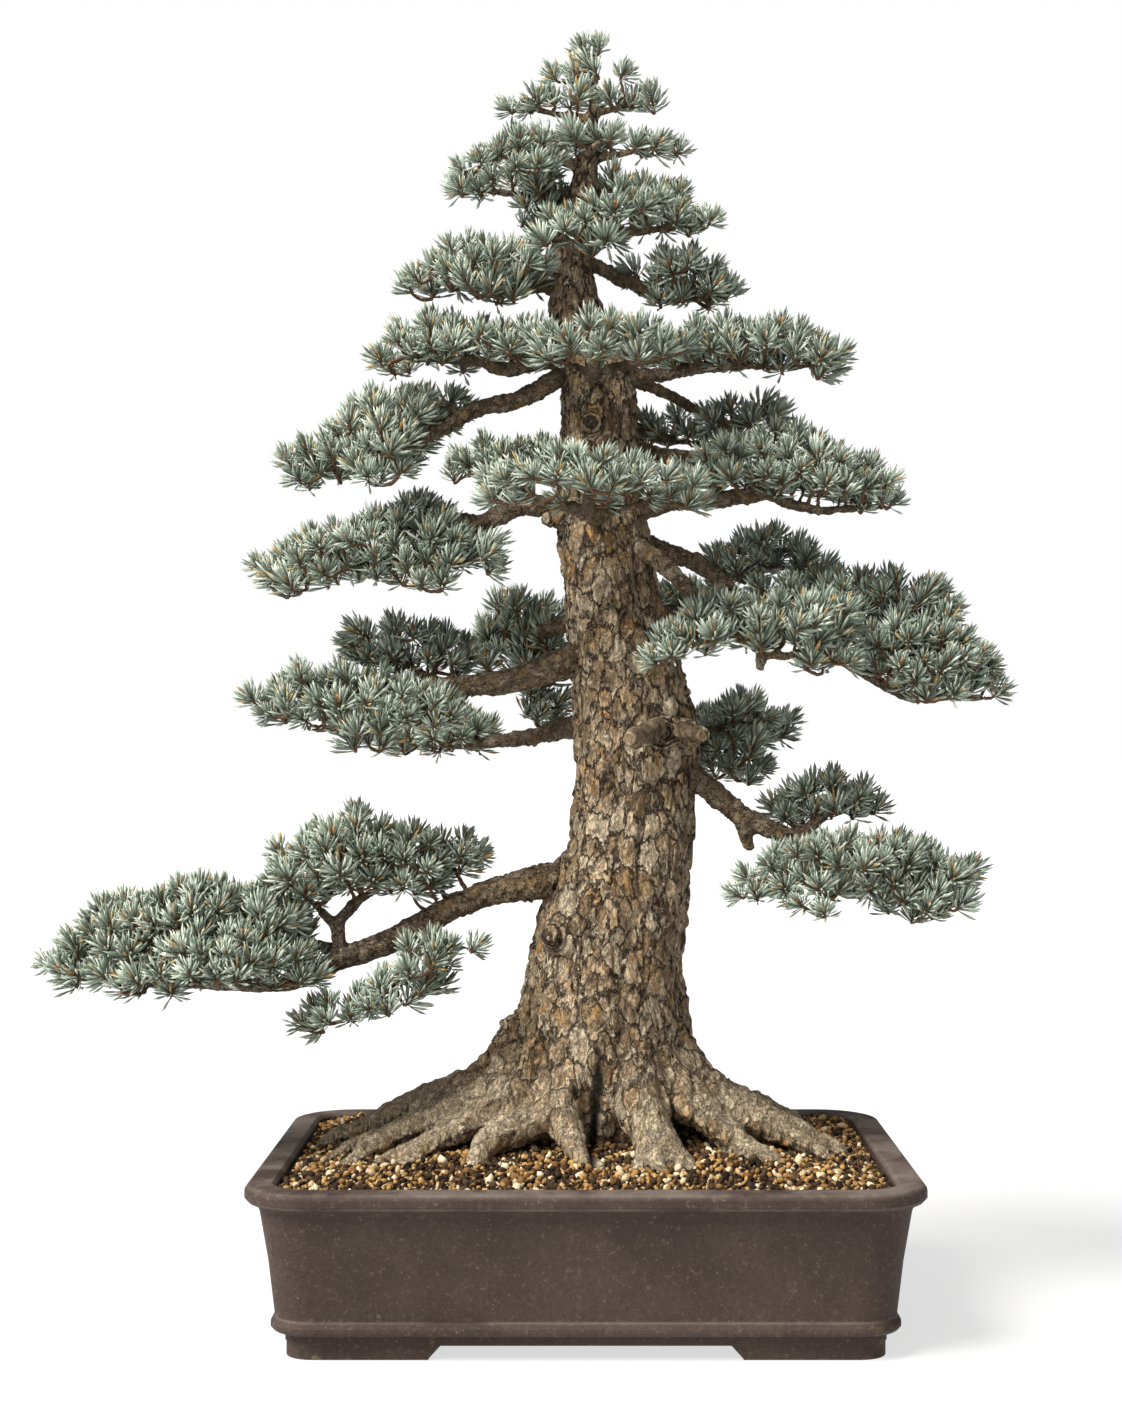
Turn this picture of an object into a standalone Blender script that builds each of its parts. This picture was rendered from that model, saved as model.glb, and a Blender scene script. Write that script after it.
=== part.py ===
"""A conifer trained as a bonsai, in an unglazed rectangular pot on four corner feet.

Metres, +Z up, standing on z = 0, with the middle of its bounding box over the origin.
The tree is drawn in millimetres from the foot of its trunk, at DRAWN_HEIGHT, and scaled to
TREE_HEIGHT. Its surface roots are drawn over a bed of DRAWN_BED and scaled to the pot's bed.
"""

import math
from typing import NamedTuple

import bmesh
import bpy
from mathutils import Matrix, Vector

# The pot
POT_LENGTH = 0.474
POT_DEPTH = 0.360
POT_HEIGHT = 0.119
CORNER_RADIUS = 0.048
RIM_WIDTH = 0.022
RIM_HEIGHT = 0.0125
RIM_OVERHANG = 0.010
WALL_BATTER = 0.011
WALL_THICKNESS = 0.012
BEAD_HEIGHT = 0.0085
BEAD_PROJECTION = 0.003
PLINTH_INSET = 0.007
FLOOR_THICKNESS = 0.011
FOOT_HEIGHT = 0.0105
FOOT_BAND = 0.0075
FOOT_LENGTH = 0.100
FOOT_DEPTH = 0.080
FOOT_SLOPE = 0.008
FOOT_WIDTH = 0.034
DRAIN_RADIUS = 0.014
DRAIN_SPACING = 0.190

# What fills it
SOIL_BELOW_RIM = 0.0055
SOIL_MOUND = 0.018
SCREEN_SIDE = 0.050
SCREEN_THICKNESS = 0.0016
SCREEN_BARS = 4
SCREEN_BAR_WIDTH = 0.004

# The tree
TREE_HEIGHT = 0.845
TRUNK_DIAMETER = 0.090
BRANCH_GIRTH = 0.86
CLEARANCE = 0.0003

# What the tree's tables below are drawn at, in millimetres
DRAWN_HEIGHT = 845
DRAWN_DIAMETER = 90
DRAWN_BED = (218, 158)

# Worked out. The scales are metres for each drawn millimetre
FLOOR_TOP = FOOT_HEIGHT + FLOOR_THICKNESS
SOIL_LEVEL = POT_HEIGHT - SOIL_BELOW_RIM
WALL_TOP_INSET = RIM_OVERHANG
WALL_FOOT_INSET = RIM_OVERHANG + WALL_BATTER
TREE_SCALE = TREE_HEIGHT / DRAWN_HEIGHT
GIRTH_SCALE = TRUNK_DIAMETER / DRAWN_DIAMETER
BED_SCALE = (
    (POT_LENGTH / 2 - RIM_WIDTH) / DRAWN_BED[0],
    (POT_DEPTH / 2 - RIM_WIDTH) / DRAWN_BED[1],
)

COLOURS = {
    "pot": ((0.115, 0.088, 0.080), 0.62),
    "soil": ((0.30, 0.17, 0.085), 0.95),
    "screen": ((0.02, 0.02, 0.02), 0.55),
    "trunk_bark": ((0.27, 0.20, 0.145), 0.9),
    "branch_bark": ((0.20, 0.145, 0.115), 0.85),
    "foliage": ((0.23, 0.31, 0.28), 0.6),
}

# The trunk's middle line, as (x, y, z, radius)
TRUNK = (
    (6, 0, -30, 44),
    (7, 0, 8, 54),
    (8, 0, 40, 62),
    (11, 0, 78, 71),
    (14, 0, 117, 63),
    (16, 0, 154, 57),
    (24, 0, 192, 54),
    (33, 0, 224, 48),
    (35, 0, 254, 46),
    (37, 0, 284, 45),
    (38, 0, 312, 46),
    (34, 0, 342, 44),
    (28, 0, 372, 40),
    (21, 0, 402, 36),
    (18, 0, 432, 35),
    (14, 0, 462, 34),
    (11, 0, 488, 32),
    (10, 0, 537, 29),
    (10, 0, 567, 28),
    (6, 0, 597, 25),
    (-5, 0, 622, 22),
    (-10, 0, 650, 18),
    (-10, 0, 687, 15),
    (-3, 0, 717, 12.5),
    (0, 0, 737, 9),
    (2, 0, 757, 6.5),
    (5, 0, 780, 4.8),
    (6, 0, 806, 3.6),
    (5, 0, 828, 2.8),
)

# Surface roots, as (x, y, z, radius), drawn over DRAWN_BED
ROOTS = (
    ((-14, -32, 84, 26), (-20, -50, 56, 21), (-30, -62, 40, 16), (-50, -70, 32, 12.5),
     (-68, -78, 24, 10.5), (-78, -92, 8, 8.5), (-85, -106, -12, 6.5)),
    ((-20, -50, 54, 18), (-18, -66, 36, 13), (-8, -80, 22, 10), (4, -94, 9, 8), (10, -108, -2, 6.5),
     (13, -116, -12, 5.5)),
    ((28, -34, 84, 28), (36, -54, 56, 23), (44, -70, 36, 17), (47, -78, 26, 13)),
    ((46, -76, 30, 13), (44, -92, 12, 9), (34, -106, 0, 7), (27, -114, -12, 5.5)),
    ((47, -78, 27, 12), (52, -98, 8, 9), (54, -112, -3, 7), (55, -118, -12, 6)),
    ((49, -74, 30, 11), (66, -90, 14, 8), (76, -102, 2, 6.5), (82, -110, -12, 5)),
    ((44, -24, 84, 24), (60, -40, 60, 20), (80, -54, 44, 16), (98, -62, 32, 13), (112, -70, 17, 10.5),
     (122, -84, 3, 8.5), (127, -96, -12, 6.5)),
    ((104, -65, 26, 9), (128, -74, 12, 7.5), (144, -84, 2, 6), (152, -90, -12, 4.5)),
    ((54, -14, 82, 22), (84, -22, 54, 17), (108, -28, 38, 13), (130, -34, 28, 9), (152, -40, 20, 7),
     (174, -50, 8, 5.5), (186, -58, -12, 4)),
    ((56, 2, 78, 24), (84, 4, 50, 18), (112, 4, 40, 14), (140, 2, 28, 10.5), (166, -4, 17, 8),
     (190, -12, 4, 6), (200, -16, -12, 4.5)),
    ((50, 20, 70, 24), (82, 30, 48, 17), (112, 40, 34, 13), (150, 60, 18, 9), (182, 82, -2, 6),
     (190, 88, -12, 5)),
    ((-42, -6, 80, 26), (-74, -4, 53, 19), (-106, -2, 42, 14), (-140, 4, 30, 10.5), (-172, 14, 17, 8),
     (-200, 26, 4, 6), (-210, 32, -12, 4.5)),
    ((-38, -20, 80, 26), (-66, -30, 54, 19), (-94, -38, 40, 14.5), (-122, -44, 30, 11),
     (-150, -52, 18, 8.5), (-172, -66, 6, 7), (-184, -76, -12, 5)),
    ((-34, -28, 76, 26), (-58, -44, 50, 19), (-84, -56, 34, 14.5), (-108, -66, 24, 11.5),
     (-126, -80, 10, 9), (-134, -94, -2, 7.5), (-138, -102, -12, 6)),
    ((-106, -65, 25, 9), (-134, -72, 14, 7.5), (-152, -82, 4, 6), (-160, -90, -12, 5)),
    ((-66, -16, 58, 14), (-100, -20, 41, 10), (-136, -24, 27, 7.5), (-168, -30, 14, 6),
     (-190, -38, 2, 5), (-198, -42, -12, 4)),
    ((-44, 14, 74, 24), (-78, 26, 48, 17), (-112, 40, 34, 13), (-155, 65, 18, 9), (-184, 90, 2, 6),
     (-194, 98, -12, 5)),
    ((30, 40, 66, 26), (52, 80, 36, 15), (70, 110, 14, 10), (80, 130, -2, 7), (84, 136, -12, 5)),
    ((2, 44, 66, 26), (0, 86, 34, 15), (-8, 118, 12, 9.5), (-10, 134, -12, 6)),
    ((-30, 38, 66, 26), (-58, 78, 34, 15), (-84, 106, 14, 10), (-96, 124, -12, 6)),
    ((50, 78, 34, 9), (34, 106, 15, 7), (24, 130, -12, 5)),
    ((-56, 76, 34, 9), (-38, 104, 15, 7), (-32, 128, -12, 5)),
)

# Old branch stubs and healed knots on the trunk
STUBS = (
    ((52, -18, 318, 30), (56, -34, 318, 17), (57, -41, 318, 9)),
    ((56, -34, 318, 10), (48, -50, 316, 7.5), (34, -66, 313, 6)),
    ((64, -28, 318, 12), (77, -44, 317, 7), (88, -52, 314, 5.5)),
    ((-8, -34, 168, 26), (-22, -46, 168, 13), (-26, -55, 168, 6)),
    ((-44, -18, 98, 20), (-58, -28, 101, 9), (-66, -30, 102, 6)),
    ((6, -16, 546, 16), (4, -27, 546, 9), (3, -33, 546, 5)),
    ((-14, -10, 476, 9), (-31, -12, 478, 4.5)),
)

# The short upright shoots of the crown, which grow from the leader
LEADER_SHOOTS = (
    ((0, 0, 724, 6), (22, 5, 728, 4), (50, 6, 728, 3), (78, 5, 733, 2)),
    ((2, 0, 748, 5), (22, -2, 750, 3.4), (46, -3, 756, 2.6), (68, -3, 764, 2)),
    ((4, 0, 778, 4), (-18, -3, 780, 3), (-42, -5, 785, 2.3), (-54, -6, 790, 2)),
    ((4, 0, 782, 4), (22, -1, 785, 2.8), (46, -2, 794, 2)),
    ((-2, 6, 712, 5), (-4, 30, 708, 3.6), (-6, 50, 712, 2.4)),
    ((1, -1, 742, 5), (-22, -6, 745, 3.4), (-48, -8, 750, 2.6), (-66, -6, 755, 2)),
    ((2, -2, 752, 5), (6, -20, 752, 3.2), (12, -32, 755, 2.2)),
)


class Branch(NamedTuple):
    """A branch's limbs as (x, y, z, radius), and its pads as {name: clumps of (x, y, z, rx, ry, rz)}."""

    limbs: tuple
    pads: dict


BRANCHES = {
    "low_left": Branch(
        limbs=(
            ((9, 0, 208, 19), (-32, -6, 206, 16), (-66, -13, 199, 12), (-110, -20, 182, 11.5),
             (-147, -26, 161, 11), (-180, -32, 151, 10.5), (-203, -39, 138, 9), (-226, -43, 132, 7),
             (-263, -46, 133, 6), (-307, -49, 134, 5), (-351, -52, 138, 3.6), (-380, -52, 142, 2.6)),
            ((-180, -32, 150, 8), (-183, -29, 174, 6.5), (-170, -18, 192, 5), (-146, -10, 204, 3.4)),
            ((-183, -29, 172, 5), (-206, -23, 196, 3.6)),
            ((-176, -31, 152, 7), (-215, -8, 164, 5), (-252, 8, 172, 4), (-285, 18, 178, 2.6)),
            ((-110, -21, 180, 6), (-127, -42, 152, 4), (-140, -55, 132, 3.4), (-164, -68, 118, 2.6)),
            ((-114, -23, 178, 5), (-100, -60, 165, 3.4), (-80, -75, 160, 2.4)),
        ),
        pads={
            "main": ((-370, -49, 152, 36, 33, 20), (-332, -47, 172, 45, 47, 30),
                     (-285, -39, 176, 46, 54, 38), (-240, -29, 172, 42, 57, 34),
                     (-214, -60, 150, 34, 35, 19), (-315, -60, 143, 46, 42, 17),
                     (-282, 36, 170, 50, 42, 24), (-262, -96, 160, 42, 35, 21)),
            "upper": ((-212, -23, 219, 32, 38, 27), (-175, -16, 231, 36, 45, 32),
                      (-132, -10, 223, 33, 42, 27), (-100, -6, 230, 25, 28, 17)),
            "hanging": ((-184, -73, 116, 26, 26, 14), (-150, -62, 127, 29, 30, 17),
                        (-122, -52, 143, 23, 27, 18), (-112, -70, 164, 26, 24, 14),
                        (-86, -78, 164, 22, 21, 11)),
        },
    ),
    "low_right": Branch(
        limbs=(
            ((50, 0, 302, 15), (80, -6, 284, 11.5), (100, -13, 268, 10), (118, -20, 254, 9.5),
             (136, -26, 245, 9), (160, -32, 236, 8), (195, -36, 216, 7), (220, -39, 204, 5.5),
             (246, -42, 194, 3.4)),
            ((112, -18, 258, 7), (117, -25, 243, 5.5), (122, -27, 230, 4.5)),
            ((150, -31, 239, 6), (172, -18, 250, 5), (186, -6, 262, 3.6), (200, 3, 268, 2.6)),
            ((190, -36, 218, 6), (226, -26, 220, 4), (266, -21, 220, 2.6)),
            ((165, -35, 233, 5), (142, -60, 214, 3.6), (120, -68, 208, 2.6)),
        ),
        pads={
            "upper": ((156, 6, 266, 23, 28, 17), (183, 6, 271, 26, 35, 20), (208, 6, 267, 20, 26, 14)),
            "main": ((122, -65, 207, 25, 28, 14), (147, -58, 224, 30, 38, 22),
                     (182, -52, 225, 33, 42, 25), (219, -39, 226, 33, 40, 22),
                     (256, -26, 223, 29, 32, 16), (284, -21, 222, 19, 21, 11),
                     (230, -47, 203, 34, 35, 16), (262, -47, 200, 23, 26, 13),
                     (170, -75, 199, 24, 24, 13), (243, -52, 190, 22, 24, 11)),
        },
    ),
    "mid_left": Branch(
        limbs=(
            ((9, 0, 378, 16), (-17, -6, 370, 14), (-45, -13, 358, 12), (-80, -16, 352, 10.5),
             (-105, -16, 351, 9), (-135, -13, 348, 8), (-170, -20, 339, 6), (-204, -23, 336, 4.4),
             (-232, -26, 340, 2.8)),
            ((-88, -18, 350, 8), (-103, -39, 336, 6), (-126, -55, 327, 5), (-165, -62, 320, 3.6),
             (-205, -55, 319, 2.6)),
            ((-108, -16, 352, 7), (-128, 6, 364, 5), (-148, 16, 374, 3)),
        ),
        pads={
            "main": ((-231, -32, 340, 27, 31, 19), (-198, -29, 347, 35, 42, 26),
                     (-161, -32, 342, 36, 47, 27), (-126, -39, 339, 34, 42, 21),
                     (-99, -52, 331, 23, 26, 15), (-158, -65, 317, 24, 24, 14)),
            "upper": ((-160, 6, 389, 26, 33, 20), (-134, 13, 386, 30, 38, 24), (-104, 16, 378, 25, 33, 17)),
        },
    ),
    "mid_left_back": Branch(
        limbs=(
            ((8, 10, 408, 11), (-20, 42, 398, 8), (-55, 72, 394, 6), (-86, 86, 391, 3)),
            ((-30, 50, 396, 5), (-42, 76, 376, 4), (-40, 88, 350, 3.4), (-42, 90, 334, 2.6)),
        ),
        pads={
            "foliage": ((-46, 83, 410, 34, 35, 22), (-72, 81, 386, 31, 33, 20), (-38, 82, 380, 24, 28, 17),
                        (-34, 90, 356, 22, 26, 22), (-38, 92, 334, 23, 26, 15)),
        },
    ),
    "mid_right_front": Branch(
        limbs=(
            ((26, -13, 462, 12), (50, -32, 446, 8.4), (62, -42, 436, 7.4), (75, -49, 421, 7),
             (88, -55, 408, 6.4), (106, -62, 393, 6), (128, -72, 377, 5.5), (146, -74, 372, 4.5),
             (167, -70, 381, 3.4), (186, -65, 388, 2.6)),
            ((128, -72, 378, 6), (125, -75, 361, 4.5)),
            ((96, -58, 400, 5), (74, -78, 386, 3.4), (56, -86, 382, 2.6)),
        ),
        pads={
            "foliage": ((55, -88, 382, 19, 24, 15), (78, -81, 390, 23, 28, 18), (98, -72, 401, 25, 31, 19),
                        (124, -72, 394, 26, 31, 18), (148, -68, 398, 26, 31, 19),
                        (176, -60, 399, 27, 33, 21), (176, -72, 372, 22, 24, 13)),
        },
    ),
    "mid_right": Branch(
        limbs=(
            ((26, 14, 466, 12), (60, 24, 455, 9), (82, 28, 448, 8.2), (100, 28, 436, 7.8),
             (116, 26, 418, 7.4), (150, 18, 396, 7), (185, 6, 378, 6.6), (215, 0, 358, 6.2),
             (240, -6, 344, 5.4), (270, -10, 344, 4), (298, -13, 342, 2.6)),
            ((85, 22, 441, 7), (110, 39, 438, 5), (140, 55, 443, 3.8), (166, 58, 446, 2.6)),
            ((178, 10, 382, 6), (214, 23, 396, 4), (250, 26, 404, 2.8)),
        ),
        pads={
            "upper": ((113, 55, 449, 27, 31, 18), (140, 60, 458, 28, 33, 21), (167, 60, 451, 23, 31, 18)),
            "main": ((150, 13, 419, 31, 38, 21), (190, 16, 419, 34, 42, 24), (228, 16, 418, 34, 42, 24),
                     (262, 13, 416, 26, 33, 18), (234, -20, 380, 35, 40, 26), (270, -13, 376, 31, 38, 26),
                     (296, -10, 360, 20, 28, 17), (256, -20, 355, 34, 31, 15)),
        },
    ),
    "back_right": Branch(
        limbs=(
            ((42, 26, 345, 12), (66, 49, 326, 7), (92, 68, 318, 5), (122, 78, 324, 3)),
            ((72, 55, 322, 5), (96, 75, 302, 3.6), (120, 83, 296, 2.6)),
        ),
        pads={"foliage": ((122, 81, 332, 31, 35, 18), (100, 74, 313, 23, 28, 17), (122, 86, 294, 27, 31, 16))},
    ),
    "third_left": Branch(
        limbs=(
            ((8, 0, 484, 13), (-22, -4, 487, 11), (-50, -6, 486, 9.5), (-72, -10, 475, 8.5),
             (-86, -20, 462, 7.4), (-110, -29, 450, 6.2), (-150, -36, 442, 5), (-190, -39, 437, 3.8),
             (-226, -39, 436, 2.6)),
            ((-70, -10, 476, 7), (-92, 4, 478, 5), (-122, 8, 481, 3)),
            ((-86, -20, 462, 5), (-76, -47, 452, 3.2), (-68, -62, 447, 2.4)),
        ),
        pads={
            "foliage": ((-224, -39, 436, 26, 31, 18), (-194, -36, 447, 34, 40, 23),
                        (-161, -32, 454, 34, 45, 26), (-132, -26, 461, 32, 42, 29),
                        (-106, -26, 457, 29, 40, 24), (-74, -60, 449, 23, 26, 14),
                        (-124, 6, 486, 25, 28, 16), (-118, -57, 433, 25, 26, 14)),
        },
    ),
    "front": Branch(
        limbs=(
            ((10, -10, 478, 12), (6, -52, 476, 8), (2, -86, 479, 6), (0, -117, 486, 3.4)),
            ((4, -62, 477, 6), (-28, -88, 481, 4), (-54, -96, 486, 2.6)),
            ((6, -62, 477, 6), (35, -88, 479, 4), (60, -91, 482, 2.6)),
        ),
        pads={
            "foliage": ((-60, -96, 495, 26, 31, 17), (-28, -112, 504, 28, 33, 20), (6, -122, 502, 28, 33, 20),
                        (38, -112, 499, 27, 33, 19), (66, -94, 491, 23, 28, 15), (5, -88, 490, 36, 24, 13)),
        },
    ),
    "third_right": Branch(
        limbs=(
            ((12, 0, 476, 12), (45, -6, 484, 9.4), (68, -10, 489, 8.4), (95, -13, 490, 8),
             (117, -16, 493, 7.4), (136, -16, 494, 6.6), (153, -18, 487, 5.6), (172, -20, 482, 4.6),
             (200, -21, 484, 3.6), (222, -21, 485, 2.6)),
            ((18, 8, 532, 11), (52, 16, 527, 8), (80, 16, 524, 7), (98, 10, 516, 5.4), (118, 3, 508, 3.4)),
            ((90, -13, 490, 8), (100, 0, 505, 5), (106, 5, 514, 4)),
        ),
        pads={
            "foliage": ((78, -23, 503, 24, 28, 15), (106, -21, 514, 29, 38, 23), (139, -20, 518, 31, 40, 26),
                        (173, -20, 514, 31, 40, 26), (203, -20, 503, 27, 35, 21),
                        (222, -21, 491, 17, 24, 13), (150, 5, 540, 25, 28, 14)),
        },
    ),
    "back_third_right": Branch(
        limbs=(((16, 10, 560, 10), (45, 42, 548, 5.4), (75, 55, 542, 4), (102, 61, 540, 2.6)),),
        pads={"foliage": ((56, 58, 553, 23, 28, 15), (83, 62, 556, 25, 31, 16), (110, 62, 547, 19, 24, 13))},
    ),
    "fourth_left": Branch(
        limbs=(
            ((5, 0, 592, 11), (-20, -4, 583, 9), (-38, -8, 572, 8.4), (-57, -10, 563, 8),
             (-75, -13, 560, 7.4), (-92, -16, 552, 6.8), (-110, -20, 541, 6), (-135, -26, 527, 4.8),
             (-162, -29, 517, 3.8), (-198, -32, 510, 2.6)),
            ((-90, -16, 553, 6), (-112, 3, 560, 4), (-136, 8, 560, 2.6)),
            ((-110, -20, 541, 5), (-126, -49, 527, 3), (-146, -60, 518, 2.4)),
        ),
        pads={
            "foliage": ((-205, -32, 513, 25, 28, 17), (-180, -29, 528, 30, 35, 21),
                        (-161, -13, 550, 30, 40, 24), (-136, -6, 553, 29, 40, 23),
                        (-148, -39, 525, 29, 35, 18), (-110, 8, 566, 28, 33, 16),
                        (-152, -60, 512, 25, 24, 13)),
        },
    ),
    "fourth_right": Branch(
        limbs=(
            ((10, 0, 584, 10), (48, -6, 584, 7.4), (75, -10, 587, 6.4), (105, -13, 591, 5.4),
             (140, -16, 589, 4), (170, -16, 590, 2.6)),
            ((14, 5, 590, 9), (55, 18, 577, 6), (86, 29, 562, 4.8), (106, 32, 553, 3.8), (132, 36, 552, 2.6)),
        ),
        pads={
            "upper": ((76, -16, 607, 29, 35, 19), (110, -16, 607, 31, 38, 21), (143, -16, 606, 31, 38, 21),
                      (173, -16, 597, 23, 31, 16)),
            "lower": ((104, 36, 563, 23, 28, 14), (132, 39, 564, 23, 28, 14)),
        },
    ),
    "fifth_left": Branch(
        limbs=(
            ((2, 0, 606, 9), (-22, -10, 595, 7.6), (-42, -18, 590, 7), (-60, -22, 586, 6.6),
             (-78, -23, 592, 5.6), (-104, -26, 593, 4.2), (-136, -29, 595, 2.6)),
        ),
        pads={
            "foliage": ((-143, -26, 599, 23, 28, 16), (-117, -26, 610, 29, 35, 22), (-88, -23, 607, 29, 38, 20),
                        (-58, -34, 606, 28, 33, 18), (-36, -49, 602, 20, 26, 16)),
        },
    ),
    "upper_front": Branch(
        limbs=(
            ((5, -3, 586, 10), (5, -44, 580, 6.6), (6, -75, 583, 5), (8, -94, 589, 3)),
            ((5, -49, 580, 5), (-16, -73, 583, 3)),
            ((5, -49, 580, 5), (38, -70, 584, 3.6), (60, -65, 588, 2.6)),
        ),
        pads={
            "foliage": ((-16, -88, 596, 24, 26, 17), (10, -94, 600, 27, 28, 19), (41, -86, 597, 26, 28, 18),
                        (64, -70, 598, 20, 24, 15)),
        },
    ),
    "sixth_left": Branch(
        limbs=(
            ((-6, 0, 652, 8), (-28, -6, 650, 6), (-50, -13, 648, 5), (-76, -16, 649, 4), (-112, -20, 651, 2.4)),
            ((-44, -12, 648, 5), (-60, -34, 640, 3), (-78, -42, 637, 2.4)),
        ),
        pads={
            "foliage": ((-118, -20, 655, 20, 26, 14), (-95, -20, 666, 27, 33, 20), (-69, -16, 668, 27, 33, 22),
                        (-46, -16, 662, 22, 31, 19), (-66, -39, 643, 25, 24, 13)),
        },
    ),
    "sixth_right": Branch(
        limbs=(
            ((-2, 0, 672, 8), (20, -4, 660, 6.4), (36, -6, 652, 6), (52, -10, 643, 5.2), (72, -13, 639, 4),
             (100, -13, 643, 2.6)),
        ),
        pads={
            "foliage": ((46, 0, 669, 20, 28, 14), (76, -6, 666, 27, 33, 17), (96, -10, 650, 23, 28, 15),
                        (66, -18, 643, 22, 24, 12)),
        },
    ),
    "seventh_right": Branch(
        limbs=(
            ((-4, 0, 702, 7), (20, -18, 690, 5), (46, -26, 689, 4), (82, -26, 692, 2.4)),
            ((14, -14, 693, 5), (-6, -30, 683, 3.6), (-28, -34, 680, 2.4)),
        ),
        pads={
            "foliage": ((2, -44, 694, 20, 21, 15), (26, -39, 706, 23, 26, 16), (54, -29, 704, 27, 31, 15),
                        (84, -26, 697, 21, 26, 12), (-22, -38, 690, 22, 22, 17), (4, -42, 682, 24, 20, 13)),
        },
    ),
    "seventh_left": Branch(
        limbs=(
            ((0, 0, 725, 7), (-20, -5, 720, 5.6), (-44, -10, 718, 4.6), (-80, -16, 722, 2.6)),
            ((-16, -5, 720, 4), (-34, 8, 708, 3), (-46, 10, 702, 2.2)),
        ),
        pads={
            "foliage": ((-88, -16, 727, 19, 24, 14), (-66, -13, 738, 26, 31, 20), (-41, -13, 744, 24, 31, 21),
                        (-28, -18, 728, 17, 24, 16), (-42, 8, 706, 21, 26, 16)),
        },
    ),
    "back_low": Branch(
        limbs=(
            ((34, 16, 296, 15), (48, 66, 298, 10.5), (70, 112, 301, 8), (96, 150, 305, 6), (120, 184, 310, 3)),
            ((84, 134, 303, 6), (124, 144, 308, 4), (150, 150, 312, 2.6)),
            ((78, 124, 302, 6), (62, 160, 306, 3.8), (52, 184, 310, 2.6)),
        ),
        pads={
            "foliage": ((118, 188, 322, 36, 30, 19), (146, 156, 324, 32, 30, 18), (108, 146, 322, 36, 34, 18),
                        (78, 176, 320, 34, 30, 17), (52, 190, 318, 24, 24, 13)),
        },
    ),
    "back_left": Branch(
        limbs=(
            ((8, 14, 326, 13), (-22, 58, 318, 9), (-60, 98, 311, 7.4), (-100, 126, 307, 5.6), (-140, 144, 308, 3)),
            ((-76, 110, 309, 5.4), (-92, 148, 309, 3.6), (-100, 174, 311, 2.6)),
        ),
        pads={
            "foliage": ((-144, 142, 319, 32, 32, 18), (-112, 154, 320, 34, 34, 19), (-106, 122, 320, 30, 28, 17),
                        (-88, 162, 318, 26, 26, 14), (-136, 172, 317, 26, 24, 13)),
        },
    ),
    "back_middle": Branch(
        limbs=(
            ((22, 18, 414, 13), (42, 72, 413, 8.5), (62, 118, 410, 6.4), (78, 160, 408, 3.4)),
            ((56, 104, 411, 6), (96, 122, 412, 4), (124, 132, 414, 2.6)),
        ),
        pads={
            "foliage": ((76, 164, 420, 36, 32, 20), (46, 136, 421, 32, 32, 18), (96, 132, 423, 34, 32, 19),
                        (126, 136, 420, 24, 26, 14), (112, 162, 418, 26, 24, 14)),
        },
    ),
    "back_upper": Branch(
        limbs=(
            ((4, 10, 520, 11), (-22, 58, 520, 7.4), (-42, 100, 521, 5.4), (-58, 138, 523, 2.8)),
            ((-36, 88, 521, 5), (-72, 102, 524, 3.4), (-94, 108, 527, 2.4)),
        ),
        pads={
            "foliage": ((-56, 138, 534, 34, 30, 18), (-32, 108, 536, 32, 30, 18), (-74, 110, 537, 30, 28, 17),
                        (-100, 112, 532, 22, 24, 13)),
        },
    ),
    "back_high": Branch(
        limbs=(
            ((-4, 6, 606, 9), (12, 52, 604, 6), (24, 88, 605, 4.4), (32, 116, 607, 2.6)),
            ((16, 64, 604, 4.6), (44, 74, 607, 3), (62, 80, 609, 2.2)),
        ),
        pads={"foliage": ((28, 112, 618, 30, 26, 16), (8, 88, 619, 26, 26, 16), (46, 84, 619, 28, 26, 15))},
    ),
}

CROWN_CLUMPS = (
    (0, -4, 815, 16, 14, 18), (-12, -4, 818, 15, 14, 13), (18, -4, 820, 15, 14, 14), (4, 4, 830, 13, 13, 15),
    (30, -3, 797, 20, 18, 15), (50, -3, 797, 15, 16, 12), (-22, -5, 798, 20, 20, 16), (-44, -6, 788, 20, 20, 15),
    (8, 10, 790, 16, 14, 14), (22, -5, 774, 18, 16, 17), (44, -3, 762, 24, 22, 15), (66, -3, 767, 14, 16, 11),
    (-6, 12, 762, 18, 16, 18), (28, 8, 742, 20, 22, 16), (56, 6, 737, 26, 26, 14), (-4, 34, 728, 24, 22, 18),
    (-8, 18, 744, 18, 16, 16), (-52, -6, 763, 21, 20, 15), (-28, -10, 764, 22, 20, 15), (-66, -5, 759, 14, 14, 10),
    (6, -22, 763, 22, 17, 15), (26, -16, 758, 18, 16, 13),
)


def clear_scene():
    for obj in list(bpy.data.objects):
        bpy.data.objects.remove(obj)


def collection(name, shown=True):
    made = bpy.data.collections.new(name)
    made.hide_render = not shown
    bpy.context.scene.collection.children.link(made)
    return made


def material(name):
    if name in bpy.data.materials:
        return bpy.data.materials[name]
    colour, roughness = COLOURS[name]
    made = bpy.data.materials.new(name)
    made.use_nodes = True
    shader = made.node_tree.nodes["Principled BSDF"]
    shader.inputs["Base Color"].default_value = (*colour, 1)
    shader.inputs["Roughness"].default_value = roughness
    shader.inputs["Metallic"].default_value = 0
    return made


def add(name, data, home):
    obj = bpy.data.objects.new(name, data)
    home.objects.link(obj)
    return obj


def evaluated_mesh(obj):
    """The object's mesh with its modifiers and its place applied."""
    bpy.context.view_layer.update()
    graph = bpy.context.evaluated_depsgraph_get()
    mesh = bpy.data.meshes.new_from_object(obj.evaluated_get(graph))
    mesh.transform(obj.matrix_world)
    return mesh


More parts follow.
